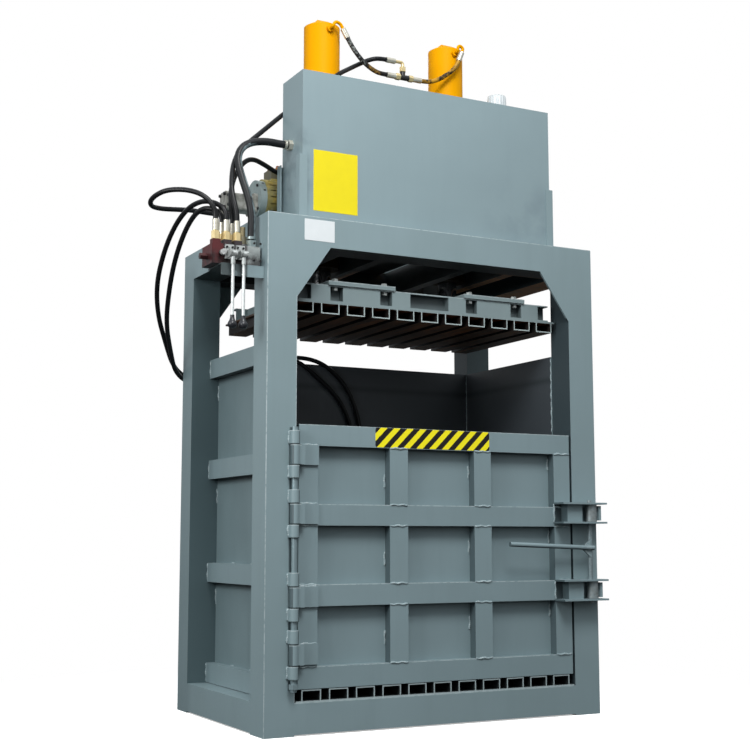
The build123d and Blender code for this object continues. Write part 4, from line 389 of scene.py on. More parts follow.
BALER_GREY = "#7E9196"
GREY_SHADE = "#748689"
EDGE_LIGHT = "#B4C1C3"
PRIMER_BROWN = "#5A3D2B"
frame_enamel = enamel("blue-grey alkyd enamel on mild steel", BALER_GREY, GREY_SHADE)
door_enamel = enamel("blue-grey enamel, door", "#7C8F94", "#718387")
chamber_enamel = enamel("blue-grey enamel, chamber", "#728589", "#64767A", cloud=0.8)
platen_enamel = enamel("blue-grey enamel over primer, platen", "#7F8F91", "#738285", cloud=0.9)
tank_enamel = enamel("blue-grey enamel, oil tank", "#7F9297", "#788A8F", cloud=0.6)
yellow_enamel = enamel("signal yellow enamel on steel tube", "#DB9700", "#D69200",
                       roughness=0.45, cloud=0.4, peel=0.03, gloss=0.04)
motor_enamel = enamel("olive hammer paint on cast housing", "#7C7546", "#5C572F",
                      roughness=0.45, cloud=0.9)
maroon_enamel = enamel("maroon dip paint on cast iron", "#4D181B", "#301416",
                       roughness=0.38, cloud=0.9)
black_enamel = enamel("black enamel on malleable fittings", "#1B1C1D", "#26272A",
                      roughness=0.4, runs=0)
print(len(bpy.data.materials), "materials so far")

# %% [markdown]
# Pale lines are painted as highlights on the edges of sawn and welded steel: the corners
# of the columns, the upper edge of each door rail, the sill.

# %% Painted highlights on edges
EDGE_LUMPS = (18, 0.3, 0.55)


def edges(material, strength, *zones):
    """Pale lines painted as highlights in the given zones, broken up by noise along them."""
    for zone in zones:
        patch(material, EDGE_LIGHT, strength, lumps=EDGE_LUMPS, **zone)


COLUMN_CORNER = {"x": (-801, -797.5), "y": (-1, 4)}
SILL_EDGE = {"x": (-670, 670), "y": (-1, 3), "z": (124.5, 128)}
BEAM_EDGE = {"y": (-1, 3), "z": (2072, 2076)}
OPENING_EDGE = {"x": (-673, -669), "y": (-1, 3), "z": (130, 1740)}
edges(frame_enamel, 0.65, COLUMN_CORNER, {**COLUMN_CORNER, "z": (900, None)}, SILL_EDGE,
      BEAM_EDGE, OPENING_EDGE)
edges(door_enamel, 0.75,
      *[{"z": (level + HALF_RAIL - 2.6, level + HALF_RAIL + 1), "y": (-1, 2)}
        for level in RAIL_LEVELS])
print("edges laid on")

# %% [markdown]
# Faces that look down or into the chamber carry painted shade and read nearly black. The
# rear columns are painted a shade darker as painted shade, and their front faces, in the
# front columns' shadow, carry a darker painted shadow. Brown primer shows on the cylinder
# beams from below.

# %% Painted shade on the frame
# The colour of painted shade on faces that look down
UNDERSIDE_SHADE = "#161B1D"
LOOKS_DOWN = ("z", -1)

# Painted shade on the rear columns, and a painted shadow of the front columns on their
# front faces
patch(frame_enamel, "#66777B", 0.5, soft=60, y=(840, None), z=(None, 2000))
patch(frame_enamel, "#3F5054", 0.85, look=("y", -1), y=(868, 882), z=(None, 2000))
# Painted shade on the sides of the columns that face the chamber
for sign in (-1, 1):
    side = tuple(sorted((sign * 660, sign * 680)))
    patch(frame_enamel, "#2B363B", 0.92, look=("x", -sign), x=side)
patch(frame_enamel, UNDERSIDE_SHADE, 0.85, look=LOOKS_DOWN)
# The beams under the deck in painted shade, the valve's oily shelf, and the column behind
# the hinge pin in its painted shadow
patch(frame_enamel, "#282B2C", 0.95, x=(-669.5, 669.5), y=(3, 990), z=(1945, 2070))
patch(frame_enamel, "#262B2B", 0.85, soft=8, lumps=(40, 0.2, 0.45),
      x=(-990, -872), y=(36, 230), z=(1800, 1860))
patch(frame_enamel, "#2B3639", 0.8, soft=4, x=(-699, -684), y=(-3, 3), z=(176, 1204))
# Primer on the beams
for zone in ({"x": (380, 900), "y": (142, 640)}, {"x": (-215, -50), "y": (380, 640)}):
    patch(frame_enamel, "#C48750", 0.8, soft=40, look=LOOKS_DOWN, lumps=(150, 0.3, 0.5),
          z=(1900, 2000), **zone)
print("frame shaded")

# %% Painted shade on the door, and painted shade and highlights at the joints of its hinge
# Painted shade on faces that look down or to the left, and on the latch housings
patch(door_enamel, UNDERSIDE_SHADE, 0.88, look=LOOKS_DOWN)
patch(door_enamel, "#3B494D", 0.8, look=("x", -1))
for level in LATCH_LEVELS:
    patch(door_enamel, "#232C2F", 0.85, soft=3,
          x=(571, 626), y=(-2, 2), z=(level - HALF_LATCH, level + HALF_LATCH))
# A shadow on the sheet below each rail, and weld spatter beside the handle
for level in RAIL_LEVELS[1:]:
    foot = level - HALF_RAIL
    patch(door_enamel, "#1B2326", 0.7, soft=9, y=(41, 50), z=(foot - 7, foot + 6))
patch(door_enamel, "#A7B2B3", 0.5, lumps=(7, 0.45, 0.6),
      x=(700, 727), y=(-64, -38), z=(676, 768))

# Painted shade in the gaps of the hinge's knuckles and painted highlights on their rims.
# Each row: colour, strength, half the line's width, and its heights about a leaf
HINGE_SHADE_AND_HIGHLIGHT_LINES = (("#1D2527", 0.85, 2.6, (-41, 41)),
               ("#1D2527", 0.7, 2.2, (-94,)),
               (EDGE_LIGHT, 0.6, 1.4, (-45.5, 36.5, 93.5)))
for painted in (frame_enamel, door_enamel):
    barrels = within(painted, x=(-705, -660), y=(None, -1))
    for hex_colour, strength, half, rises in HINGE_SHADE_AND_HIGHLIGHT_LINES:
        lines = near(painted, "z", [level + rise for level in HINGE_LEVELS for rise in rises],
                     half)
        overlay(painted, hex_colour, strength, barrels, lines)
print("door shaded")

# %% [markdown]
# Inside the chamber the paint is darkened as painted shade. The deck and the platen are
# primed brown below, with streaks along the channels, and painted shade darkens their
# undersides and the channels' sides. The channels' sawn ends carry a painted highlight.
# The cylinders pass out of sight under the deck, where painted shade hides the yellow.

# %% Chamber, deck, platen and cylinders
CHAMBER = {"x": (-665.6, 665.6), "y": (None, 875.6), "z": (176, 1595)}
# Painted shade inside the chamber, with paler upright streaks
patch(chamber_enamel, "#3A3F44", 0.96, **CHAMBER)
patch(chamber_enamel, "#4B5356", 0.35, lumps=(90, 0.58, 0.75, (1, 1, 0.2)), **CHAMBER)
# The floor's channels: painted shade inside, and a painted highlight on the front ends
patch(chamber_enamel, "#191B1C", 0.95, x=(-665.5, 665.5), y=(3.2, None), z=(126, 176.5))
patch(chamber_enamel, "#9AA8AA", 0.9, y=(None, 3.0), z=(126, 176.5))
# Painted shade on the deck from below, with primer at the right
DECK = (2060, 2070)
patch(chamber_enamel, "#1F1F1E", 0.95, look=LOOKS_DOWN, z=DECK)
patch(chamber_enamel, "#B07846", 0.8, soft=30, look=LOOKS_DOWN, lumps=(120, 0.3, 0.5),
      x=(210, None), y=(330, None), z=DECK)
# The shadow of each bar on the side sheets
for level in BAR_LEVELS[1:]:
    patch(chamber_enamel, "#1F282B", 0.6, soft=22, z=(level - 62, level - 38))

CHANNEL_TOP = 1736
UNDERSIDE = {"y": (92, None), "z": (None, 1742.6)}
patch(platen_enamel, PRIMER_BROWN, 0.97, **UNDERSIDE)
patch(platen_enamel, "#B4703D", 0.8, look=LOOKS_DOWN, lumps=(70, 0.48, 0.6, (1, 0.15, 1)),
      **UNDERSIDE)
patch(platen_enamel, "#100E0C", 0.6, lumps=(140, 0.42, 0.62, (1, 0.35, 1)), **UNDERSIDE)
# A painted highlight on the channels' sawn ends, and painted shade in the recess behind them
patch(platen_enamel, "#A3B0B0", 0.9, y=(None, 91.8), z=(None, 1735.2))
patch(platen_enamel, "#3F484A", 0.75, x=(-700, 700), y=(96, 133), z=(1743.5, 1814.5))
# Painted shade on the sides of the channels, and on the faces above them that look down
for sign in (-1, 1):
    patch(platen_enamel, "#1A1B1C", 0.9, look=("x", sign), z=(None, CHANNEL_TOP))
patch(platen_enamel, "#14181A", 0.8, look=LOOKS_DOWN, z=(CHANNEL_TOP, None))
patch(platen_enamel, "#8A6240", 0.7, look=LOOKS_DOWN, lumps=(150, 0.35, 0.6, (1, 0.3, 1)),
      z=(None, CHANNEL_TOP))
# Painted highlights on the platen's upper edges
edges(platen_enamel, 0.6, {"z": (1829, 1834)}, {"z": (1811.5, 1815), "y": (None, 92)})
# Painted shade on the cylinders under the deck
patch(yellow_enamel, "#150F09", 0.97, soft=6, z=(None, 2068))

# Faint smudges on the tank
patch(tank_enamel, "#55646A", 0.55, soft=90, lumps=(90, 0.42, 0.62),
      x=(None, -590), z=(2180, 2440))
patch(tank_enamel, "#61717A", 0.45, soft=160, lumps=(210, 0.45, 0.7),
      x=(330, None), z=(None, 2330))
print("chamber, platen and tank shaded")

# %% [markdown]
# ## Bare metals
# A press rod is hard chrome, ground and polished, so it is metallic and nearly a mirror.
# Shafts and cams are mild steel that has been greased and rubbed, blotchy and dull. Hose
# ends are zinc plated with a warm passivated film, valve nuts are brass. Each keeps
# Blender's default IOR, as metals should, and differs in colour, in roughness and in how
# uneven it is.

# %% Metals
STAIN_EDGES = (0.38, 0.68)      # of the noise, for a blotch
DULL_SWING = (-0.08, 0.14)      # of the roughness


def bare_metal(name, main, stain, roughness, blotch=33.3, share=0.5, metallic=1.0):
    """Bare metal. Blotches of blotch millimetres mix in the stain's colour and make the
    surface rougher there."""
    material, shader = finish_of(name)
    place = add(material, "TexCoord", out="Object")
    spots = add(material, "TexNoise", {"Vector": place, "Scale": 1000 / blotch,
                                       "Detail": 4.0, "Roughness": 0.6})
    stained = add(material, "MapRange", {"Value": spots, "From Min": STAIN_EDGES[0],
                                         "From Max": STAIN_EDGES[1], "To Max": share})
    colour = add(material, "Mix", {"Factor": stained, 6: linear(main), 7: linear(stain)},
                 out=2, data_type="RGBA")
    dullness = add(material, "MapRange", {"Value": spots, "To Min": roughness + DULL_SWING[0],
                                          "To Max": roughness + DULL_SWING[1]})
    feed(shader, {"Base Color": colour, "Roughness": dullness, "Metallic": metallic})
    return material


# Ground and plated: the room shows in it almost sharply
hard_chrome = bare_metal("hard chrome on ground steel", "#C9CCCE", "#A8ABAE", 0.12, share=0.3)
machined_iron = bare_metal("turned cast iron", "#6F7172", "#4E5051", 0.35)
# Rubbed and greased: blotches of dull and less dull steel
worn_steel = bare_metal("greased and rubbed mild steel", "#8E9491", "#5C6060", 0.42,
                        blotch=14.3, share=0.7, metallic=0.5)
# Plated and turned: small bright ends that draw the eye to each fitting
zinc_plate = bare_metal("zinc plate, passivated", "#CFCCC0", "#A8A28D", 0.32, metallic=0.7)
brass = bare_metal("brass bar, turned", "#E3D0A0", "#B9A067", 0.34, metallic=0.7)
# As cast: grainy and soft, brighter for bare aluminium than under paint mist or grime
cast_alloy = bare_metal("cast aluminium, as cast", "#D3D8D7", "#A9AFAE", 0.4, blotch=16.7,
                        metallic=0.4)
bell_casting = bare_metal("sprayed aluminium casting", "#7C8A8B", "#6A7876", 0.5,
                          metallic=0.1)
pump_casting = bare_metal("bare aluminium casting, gear pump", "#9B9B95", "#565650", 0.5,
                          blotch=35.7, share=0.9, metallic=0.3)
print("hard chrome is fully metallic, a grimy casting only partly")

# %% [markdown]
# Some of these pieces were sprayed together with the frame: the hinge pin, the latch
# shaft and the return hose's fittings. The bolts of the press are bright zinc, the
# pump's cover bolts are blackened, and paint mist lies on the valve's right end. The
# motor shows yellow where the olive coat is thin.

# %% Painted over, plated and blackened
# Hinge pin, press bolts and latch shaft
patch(worn_steel, BALER_GREY, 0.95, soft=4, x=(None, -600))
patch(worn_steel, "#AEB4B2", 0.9, soft=4, x=(-600, 600), z=(1700, None))
patch(worn_steel, "#6B7C80", 0.9, soft=3, x=(722, 750), z=(584, 829))
patch(worn_steel, "#8C999E", 0.75, soft=3, lumps=(10, 0.3, 0.6), x=(715, 775), z=(480, 930))
patch(pump_casting, "#141517", 1.0, x=(None, -831.3))

# The valve: oily in the middle, misted on the right, joints between its blocks, grime
patch(maroon_enamel, "#2B2A2C", 0.9, soft=14, lumps=(22, 0.25, 0.45), x=(-966, -868))
patch(maroon_enamel, "#939B9A", 0.9, soft=16, lumps=(26, 0.22, 0.42), x=(-868, None))
RELIEF_SCREW = {"x": (-989, -963), "z": (1882, 1909)}
patch(maroon_enamel, "#161618", 1.0, y=(None, 59.4), **RELIEF_SCREW)
patch(maroon_enamel, "#C7CBCA", 1.0, y=(None, 44), **RELIEF_SCREW)
for joint in (-962, -912, -867):
    patch(maroon_enamel, "#171112", 0.9, soft=1, x=(joint - 1, joint + 1))
patch(maroon_enamel, "#1B1415", 0.8, soft=30, lumps=(24, 0.3, 0.55), z=(None, 1900))

# The motor's thin coat, scuffs and terminal box
patch(motor_enamel, "#B39A3C", 0.4, lumps=(70, 0.45, 0.62))
patch(motor_enamel, "#8E9593", 0.5, lumps=(9, 0.62, 0.68))
patch(motor_enamel, "#3A3A34", 0.85, z=(2328, None))

# The lever castings: a dark spot painted as the shade in the hole at the end of each pin,
# greyer above, and painted shade in the recesses at the top
for left in (-958, -912):
    patch(cast_alloy, "#2B2C2D", 0.9, soft=4, x=(left, left + 11), y=(None, 9), z=(1884, 1898))
patch(cast_alloy, "#8B918F", 0.6, soft=20, z=(1838, None))
patch(cast_alloy, "#3E403F", 0.6, soft=4, lumps=(9, 0.52, 0.62), z=(1870, None))

# Fittings beside the column were sprayed with it
BESIDE_COLUMN = (-865, -800)
for metal in (zinc_plate, brass):
    patch(metal, "#7B8E93", 0.85, soft=4, x=BESIDE_COLUMN, y=(60, 130))
patch(brass, "#8B8268", 0.8, soft=4, x=BESIDE_COLUMN, y=(130, None))
print("second coats laid on")

# %% [markdown]
# ## Rubber and plastics
# Hydraulic hose is wrapped in black synthetic rubber. It is matt with a trace of gloss
# and is never pure black. The hoses by the cylinders caught yellow paint, and the return
# hose a grey mist, and it carries a painted highlight along the side that looks right. The
# lever knobs are phenolic plastic and the tank's breather is a white moulded cap.

# %% Rubber and plastic
SHADE_MM = 40
GRAIN_MM = 3.33
GRAIN_DEPTH = 0.0005            # metres


def moulded(name, main, shade, roughness, relief=0.0, gloss=0.4):
    """A plain moulded skin. Its colour runs between main and shade in clouds of a few
    centimetres, and relief is the strength of a grain about 3 mm wide."""
    material, shader = finish_of(name)
    place = add(material, "TexCoord", out="Object")
    clouds = add(material, "TexNoise",
                 {"Vector": place, "Scale": 1000 / SHADE_MM, "Detail": 3.0})
    grain = add(material, "TexNoise", {"Vector": place, "Scale": 1000 / GRAIN_MM})
    colour = add(material, "Mix", {"Factor": clouds, 6: linear(main), 7: linear(shade)},
                 out=2, data_type="RGBA")
    bump = add(material, "Bump", {"Strength": relief, "Distance": GRAIN_DEPTH, "Height": grain})
    feed(shader, {"Base Color": colour, "Normal": bump, "Roughness": roughness, "IOR": 1.5,
                  "Specular IOR Level": gloss})
    return material


hose_rubber = moulded("synthetic rubber hose cover, wrapped", "#121315", "#1A1B1D", 0.36,
                      relief=0.05, gloss=0.22)
sprayed_rubber = moulded("rubber hose cover with yellow overspray", "#161617", "#1F1E1E", 0.4,
                         relief=0.05, gloss=0.22)
patch(sprayed_rubber, "#B98A26", 0.85, soft=30, lumps=(30, 0.38, 0.56), x=(125, None))
patch(sprayed_rubber, "#A9813A", 0.8, soft=20, lumps=(18, 0.45, 0.6), x=(-150, -80))
patch(sprayed_rubber, "#8D938F", 0.6, soft=20, lumps=(12, 0.5, 0.6), x=(-270, -170))
misted_highlit_rubber = moulded("rubber hose cover with grey mist and painted highlight", "#18191B", "#222426", 0.4,
                        relief=0.05, gloss=0.22)
# Grey mist, and a painted highlight along the side that looks right
patch(misted_highlit_rubber, "#7F9094", 0.8, look=("x", 1, 0.25), lumps=(40, 0.3, 0.6))
# Moulded or printed: even, smooth and a little glossy, with no grain at all
knob_phenolic = moulded("phenolic knob, moulded", "#1C1D20", "#2C2E33", 0.3)
breather_white = moulded("white moulded cap", "#C6CBCD", "#B4BABC", 0.35)
hazard_vinyl = moulded("printed vinyl sheet, hazard stripes", "#F3E716", "#EDDF16", 0.3)
yellow_vinyl = moulded("yellow vinyl sheet", "#DCCB0C", "#D4C310", 0.32)
white_vinyl = moulded("white vinyl sheet", "#D2D7D9", "#CAD0D2", 0.32)
print("hoses are covered in", hose_rubber.name)

# %% [markdown]
# The hazard stripes are a pattern everyone uses: yellow and black at 45 degrees. Across
# the slope the position is X minus Z, which is the point's dot product with (1, 0, -1),
# divided by the length of one yellow and one black stripe. Its fraction is below one half
# on yellow and above on black.

# %% Hazard stripes
STRIPE_PAIR_MM = 62.0
FIRST_STRIPE_MM = 22.0


def striped(material, dark):
    """Dark stripes where the fraction of (x - z + start) / pair is above one half."""
    place = add(material, "TexCoord", out="Object")
    slope = (1000 / STRIPE_PAIR_MM, 0, -1000 / STRIPE_PAIR_MM)
    across = add(material, "VectorMath", {0: place, 1: slope}, out="Value",
                 operation="DOT_PRODUCT")
    pairs = add(material, "Math", {0: across, 1: FIRST_STRIPE_MM / STRIPE_PAIR_MM},
                operation="ADD")
    share = add(material, "Math", {0: pairs}, operation="FRACT")
    black = add(material, "Math", {0: share, 1: 0.5}, operation="GREATER_THAN")
    overlay(material, dark, 1.0, black)


striped(hazard_vinyl, "#141215")
print("one pair of stripes is", STRIPE_PAIR_MM, "mm")

# %% [markdown]
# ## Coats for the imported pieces
# The model's record names a slot for each piece, such as door_paint. One list says which
# finish goes on each slot.

# %% Coat the pieces
coats = {
    "frame_paint": frame_enamel,
    "door_paint": door_enamel,
    "chamber_paint": chamber_enamel,
    "platen_paint": platen_enamel,
    "cylinder_paint": yellow_enamel,
    "rod_chrome": hard_chrome,
    "piston_iron": machined_iron,
    "worn_steel": worn_steel,
    "tank_paint": tank_enamel,
    "breather_plastic": breather_white,
    "bell_casting": bell_casting,
    "motor_paint": motor_enamel,
    "rotor_steel": worn_steel,
    "fan_cover_paint": motor_enamel,
    "pump_casting": pump_casting,
    "valve_paint": maroon_enamel,
    "lever_casting": cast_alloy,
    "knob_plastic": knob_phenolic,
    "hose_rubber": hose_rubber,
    "hose_steel": zinc_plate,
    "fitting_brass": brass,
    "fitting_black": black_enamel,
}
slot_of = {row["node"]: row["material_slot"] for row in frame["record"]["subparts"]}
for name, node in frame["nodes"].items():
    if not node.material_slots:
        node.data.materials.append(None)
    for slot in node.material_slots:
        slot.material = coats[slot_of[name]]
print("painted", len(frame["nodes"]), "pieces")

# %% [markdown]
# ## The hoses
# Each hose is a fixed length of rubber hose between two fittings. It leaves a fitting
# straight, bends as loosely as its length allows and sags under its own weight. A NURBS
# spline of order three passes near its control points and turns smoothly between them,
# which is what such a hose does, so the points of the drawing are its control points.

# %% One hose from its route
covers = {"left_cylinder_hose": sprayed_rubber, "right_cylinder_hose": sprayed_rubber,
          "return_hose": misted_highlit_rubber}


def hose(node, radius, route):
    """A NURBS curve of order 3 with the route's points as control points, given a round
    section of the hose's radius. It stands for the model's piece called node."""
    data = bpy.data.curves.new(node + "_line", "CURVE")
    data.dimensions = "3D"
    data.bevel_depth = radius / 1000
    data.bevel_resolution = 6
    data.resolution_u = 10
    data.use_fill_caps = True
    spline = data.splines.new("NURBS")
    points = at(route)
    spline.points.add(len(points) - 1)
    spline.points.foreach_set("co", np.c_[points, np.ones(len(points))].ravel())
    spline.order_u = 3
    spline.use_endpoint_u = True
    data.materials.append(covers.get(node, hose_rubber))
    piece = put(node + "_line", data)
    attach(piece, "frame")
    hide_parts(node)
    return piece


print(len(covers), "hoses caught overspray")

# %% [markdown]
# The routes: the name of the hose, which is also the piece of the model that it stands
# for, its radius in millimetres, the length it was cut to in metres, and the points it is
# drawn towards. Each starts at the valve, the tank or a cylinder, straight out of its
# fitting.

# %% Routes of the eight hoses
SMALL_HOSE = 10.5

routes = [
    ("return_hose", 16, 0.649, [
        (-640, 177, 2418), (-678, 177, 2418), (-733, 176, 2420), (-790, 173, 2411),
        (-834, 166, 2391), (-864, 158, 2359), (-876, 150, 2320), (-873, 140, 2277),
        (-864, 128, 2233), (-851, 113, 2178), (-838, 103, 2124), (-832, 98, 2070),
        (-834, 95, 2016), (-834, 95, 1965),
    ]),
    ("pump_hose", SMALL_HOSE, 0.759, [
        (-989, 95, 2040), (-989, 95, 2064), (-1001, 95, 2094), (-1022, 105, 2124),
        (-1056, 125, 2149), (-1106, 160, 2164), (-1160, 210, 2166), (-1191, 255, 2151),
        (-1199, 300, 2136), (-1180, 340, 2126), (-1133, 373, 2129), (-1065, 397, 2139),
        (-990, 413, 2149), (-930, 424, 2150), (-893, 430, 2150), (-862, 430, 2150),
    ]),
    ("ejector_hose_1", SMALL_HOSE, 2.747, [
        (-943, 95, 2040), (-943, 95, 2066), (-955, 103, 2094), (-980, 138, 2120),
        (-1012, 195, 2136), (-1045, 265, 2120), (-1070, 350, 2066), (-1080, 460, 1978),
        (-1064, 610, 1862), (-1012, 745, 1748), (-930, 880, 1650), (-846, 1008, 1550),
        (-745, 1056, 1503), (-635, 1046, 1500), (-530, 1014, 1540), (-430, 968, 1592),
        (-350, 926, 1617), (-280, 894, 1622), (-215, 874, 1616), (-155, 862, 1597),
        (-95, 860, 1560), (-40, 860, 1508), (5, 860, 1440), (36, 860, 1360), (55, 860, 1270),
        (65, 860, 1170), (69, 860, 1070), (70, 861, 990), (70, 861, 930),
    ]),
    ("ejector_hose_2", SMALL_HOSE, 2.574, [
        (-943, 145, 2040), (-943, 145, 2062), (-955, 148, 2085), (-984, 165, 2101),
        (-1010, 200, 2104), (-1031, 248, 2080), (-1045, 320, 2020), (-1044, 430, 1932),
        (-1020, 570, 1829), (-978, 730, 1712), (-905, 880, 1612), (-835, 1008, 1522),
        (-745, 1030, 1480), (-640, 1020, 1476), (-545, 990, 1512), (-465, 958, 1572),
        (-390, 915, 1598), (-335, 885, 1608), (-285, 866, 1601), (-235, 860, 1572),
        (-180, 860, 1528), (-118, 860, 1480), (-62, 860, 1425), (-20, 860, 1355),
        (8, 860, 1270), (24, 860, 1170), (31, 860, 1070), (33, 861, 990), (33, 861, 930),
    ]),
    ("lift_hose", SMALL_HOSE, 1.410, [
        (-897, 95, 2040), (-897, 95, 2070), (-905, 100, 2112), (-915, 114, 2172),
        (-904, 143, 2242), (-882, 181, 2309), (-844, 210, 2378), (-768, 236, 2448),
        (-694, 266, 2516), (-615, 298, 2588), (-535, 308, 2660), (-450, 324, 2735),
        (-367, 340, 2800), (-312, 352, 2846), (-245, 388, 2891), (-184, 410, 2931),
        (-134, 412, 2960), (-90, 400, 2973), (-47, 400, 2973),
    ]),
    ("lower_hose", SMALL_HOSE, 0.916, [
        (-897, 145, 2040), (-897, 145, 2072), (-904, 148, 2118), (-901, 160, 2185),
        (-873, 190, 2260), (-822, 222, 2332), (-768, 252, 2362), (-700, 288, 2354),
        (-626, 316, 2332), (-560, 320, 2318), (-495, 326, 2312), (-435, 338, 2308),
        (-392, 356, 2300), (-360, 372, 2284), (-340, 384, 2261), (-331, 390, 2236),
        (-331, 390, 2209),
    ]),
    ("left_cylinder_hose", SMALL_HOSE, 0.270, [
        (-255, 385, 3035), (-236, 384, 3002), (-209, 381, 2966), (-179, 380, 2935),
        (-143, 384, 2914), (-110, 393, 2905), (-80, 400, 2901), (-44, 400, 2901),
    ]),
    ("right_cylinder_hose", SMALL_HOSE, 0.250, [
        (336, 383, 3028), (325, 384, 3000), (301, 387, 2973), (271, 391, 2949),
        (240, 394, 2927), (206, 397, 2910), (170, 400, 2901), (138, 400, 2901),
    ]),
]
for node, radius, cut, route in routes:
    piece = hose(node, radius, route)
print(len(routes), "hoses")

# %% [markdown]
# ## Small pieces from rings
# Weld beads, stickers, screws and ribs are all the same kind of surface: closed rings
# laid one after another, like the hoops of a barrel, with quads between neighbours and
# a flat face over each end. Whole arrays of rings are worked out with numpy, and one
# function turns a list of them into one mesh.

# %% Rings to a mesh
def ring_faces(count, around, start):
    """The quads between neighbouring rings, and one face over each end. The points of a
    ring are numbered in turn, so the next point is one on, and the next ring is a whole
    ring's count on."""
    first = start + np.arange(count - 1)[:, None] * around + np.arange(around)
    second = start + np.arange(count - 1)[:, None] * around + (np.arange(around) + 1) % around
    quads = np.stack([first, second, second + around, first + around], axis=-1)
    last = start + (count - 1) * around
    ends = [list(range(start, start + around))[::-1], list(range(last, last + around))]
    return quads.reshape(-1, 4).tolist() + ends


def piece_of(name, tubes, material, body, smooth=True):
    """One object from a list of tubes. Each tube is an array of rings, by points around,
    by three coordinates of the drawing in millimetres. The normals are turned outwards."""
    starts = np.cumsum([0] + [tube.shape[0] * tube.shape[1] for tube in tubes])
    faces = [face for tube, start in zip(tubes, starts)
             for face in ring_faces(tube.shape[0], tube.shape[1], int(start))]
    points = at(np.concatenate([tube.reshape(-1, 3) for tube in tubes]))
    mesh = bpy.data.meshes.new(name)
    mesh.from_pydata(points.tolist(), [], faces)
    work = bmesh.new()
    work.from_mesh(mesh)
    bmesh.ops.recalc_face_normals(work, faces=work.faces)
    work.to_mesh(mesh)
    work.free()
    mesh.polygons.foreach_set("use_smooth", [smooth] * len(mesh.polygons))
    mesh.materials.append(material)
    piece = put(name, mesh)
    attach(piece, body)
    print(name, len(tubes), "parts,", len(mesh.polygons), "faces")


print("three rings of eight make", len(ring_faces(3, 8, 0)), "faces")

# %% [markdown]
# ## Weld beads
# The frame is welded by hand. A bead is a small heap of overlapping scales, each about
# as long as the bead is wide, that starts and ends round. So it is a circle carried along
# the seam, whose radius swells with a cosine for the scales and closes at both ends. It
# wanders a little, as a hand does.

# %% One bead
AROUND_BEAD = 8
RING_STEP = 0.6         # of a radius from ring to ring
SCALE_LENGTH = 1.9      # radii from scale to scale
SCALE_DEPTH = 0.2
WANDER = 0.35           # of a radius to each side
WANDER_MM = 41
SWELL = 0.15
SWELL_MM = 13


def bead(start, end, radius, seed):
    """Circles of AROUND_BEAD points from start to end. The radius is multiplied by one
    plus a cosine of the way travelled, by one plus a slower sine, and by the root of one
    minus the eighth power of the place along it, from -1 to 1, which rounds the ends. The
    middle moves aside by another sine."""
    start, end = np.array(start, float), np.array(end, float)
    length = np.linalg.norm(end - start)
    along = (end - start) / length
    side = np.cross(along, (0, 1, 0) if abs(along[1]) < 0.9 else (1, 0, 0))
    up = np.cross(side, along)
    way = np.linspace(0, 1, max(8, int(length / (RING_STEP * radius))))[:, None, None]
    turn = (np.arange(AROUND_BEAD) * 2 * np.pi / AROUND_BEAD)[None, :, None]
    phase = np.random.default_rng(seed).uniform(0, 2 * np.pi, 3)
    turns = 2 * np.pi * way * length
    scales = 1 + SCALE_DEPTH * np.cos(turns / (SCALE_LENGTH * radius) + phase[0])
    ends = np.sqrt(np.clip(1 - np.abs(2 * way - 1) ** 8, 0.02, 1))
    wander = WANDER * radius * np.sin(turns / WANDER_MM + phase[1])
    girth = radius * scales * ends * (1 + SWELL * np.sin(way * length / SWELL_MM + phase[2]))
    middle = start + along * way * length + side * wander
    return middle + girth * (side * np.cos(turn) + up * np.sin(turn))


print("a bead has", AROUND_BEAD, "points round it")

# %% [markdown]
# On the door a bead joins the end of each stile to its rail, and short tacks hold the
# rails to the sheet behind them. The hinge leaves are welded along their upper edge, the
# latch housings to the door's edge, the fixed knuckles to the column, and each bar of
# the walls to the columns beside it. The wall sheets are tacked in their corners.

# %% Beads of the door
BEAD = 4.2
STILE_BEAD = 4.4
KNUCKLE_BEAD = 4.6
TACK = 3.0
CORNER_TACK = 4.0
CORNER_BEAD = 2.2


def weld(beads, start, end, radius):
    """One more bead for a list. Its number in the list is its seed, so no two are alike."""
    beads.append(bead(start, end, radius, len(beads)))


door_beads = []
for number, level in enumerate(RAIL_LEVELS):
    for x in STILE_XS:
        for edge, here in ((level - HALF_RAIL, number > 0),
                           (level + HALF_RAIL, number < len(RAIL_LEVELS) - 1)):
            if here:
                weld(door_beads, (x - HALF_STILE, 0.4, edge), (x + HALF_STILE, 0.4, edge),
                     STILE_BEAD)
for level in RAIL_LEVELS[:-1]:
    for x in STILE_XS[1:]:
        beside = x - HALF_STILE - 4
        # The tacks start at three heights in turn
        low = level + HALF_RAIL + 70 + 45 * (len(door_beads) % 3)
        weld(door_beads, (beside, 42.6, low), (beside, 42.6, low + 58), BEAD)
for level in HINGE_LEVELS:
    weld(door_beads, (-656, -5, level + 40.5), (-577, -5, level + 40.5), BEAD)
for level in LATCH_LEVELS:
    weld(door_beads, (571, -2, level - HALF_LATCH), (571, -2, level + HALF_LATCH), BEAD)
# Paint lies thick and glossy on a bead. Its grey is mixed lighter than the frame's and
# carries pale specks on its scales, both as painted highlights
weld_enamel = enamel("blue-grey enamel, thick over a weld bead", "#8B9DA1", "#7A8C90",
                     roughness=0.34, cloud=0.6, runs=0, gloss=0.5)
patch(weld_enamel, "#BFC9CA", 0.45, lumps=(9, 0.5, 0.62))
piece_of("door_weld_beads", door_beads, weld_enamel, "door")

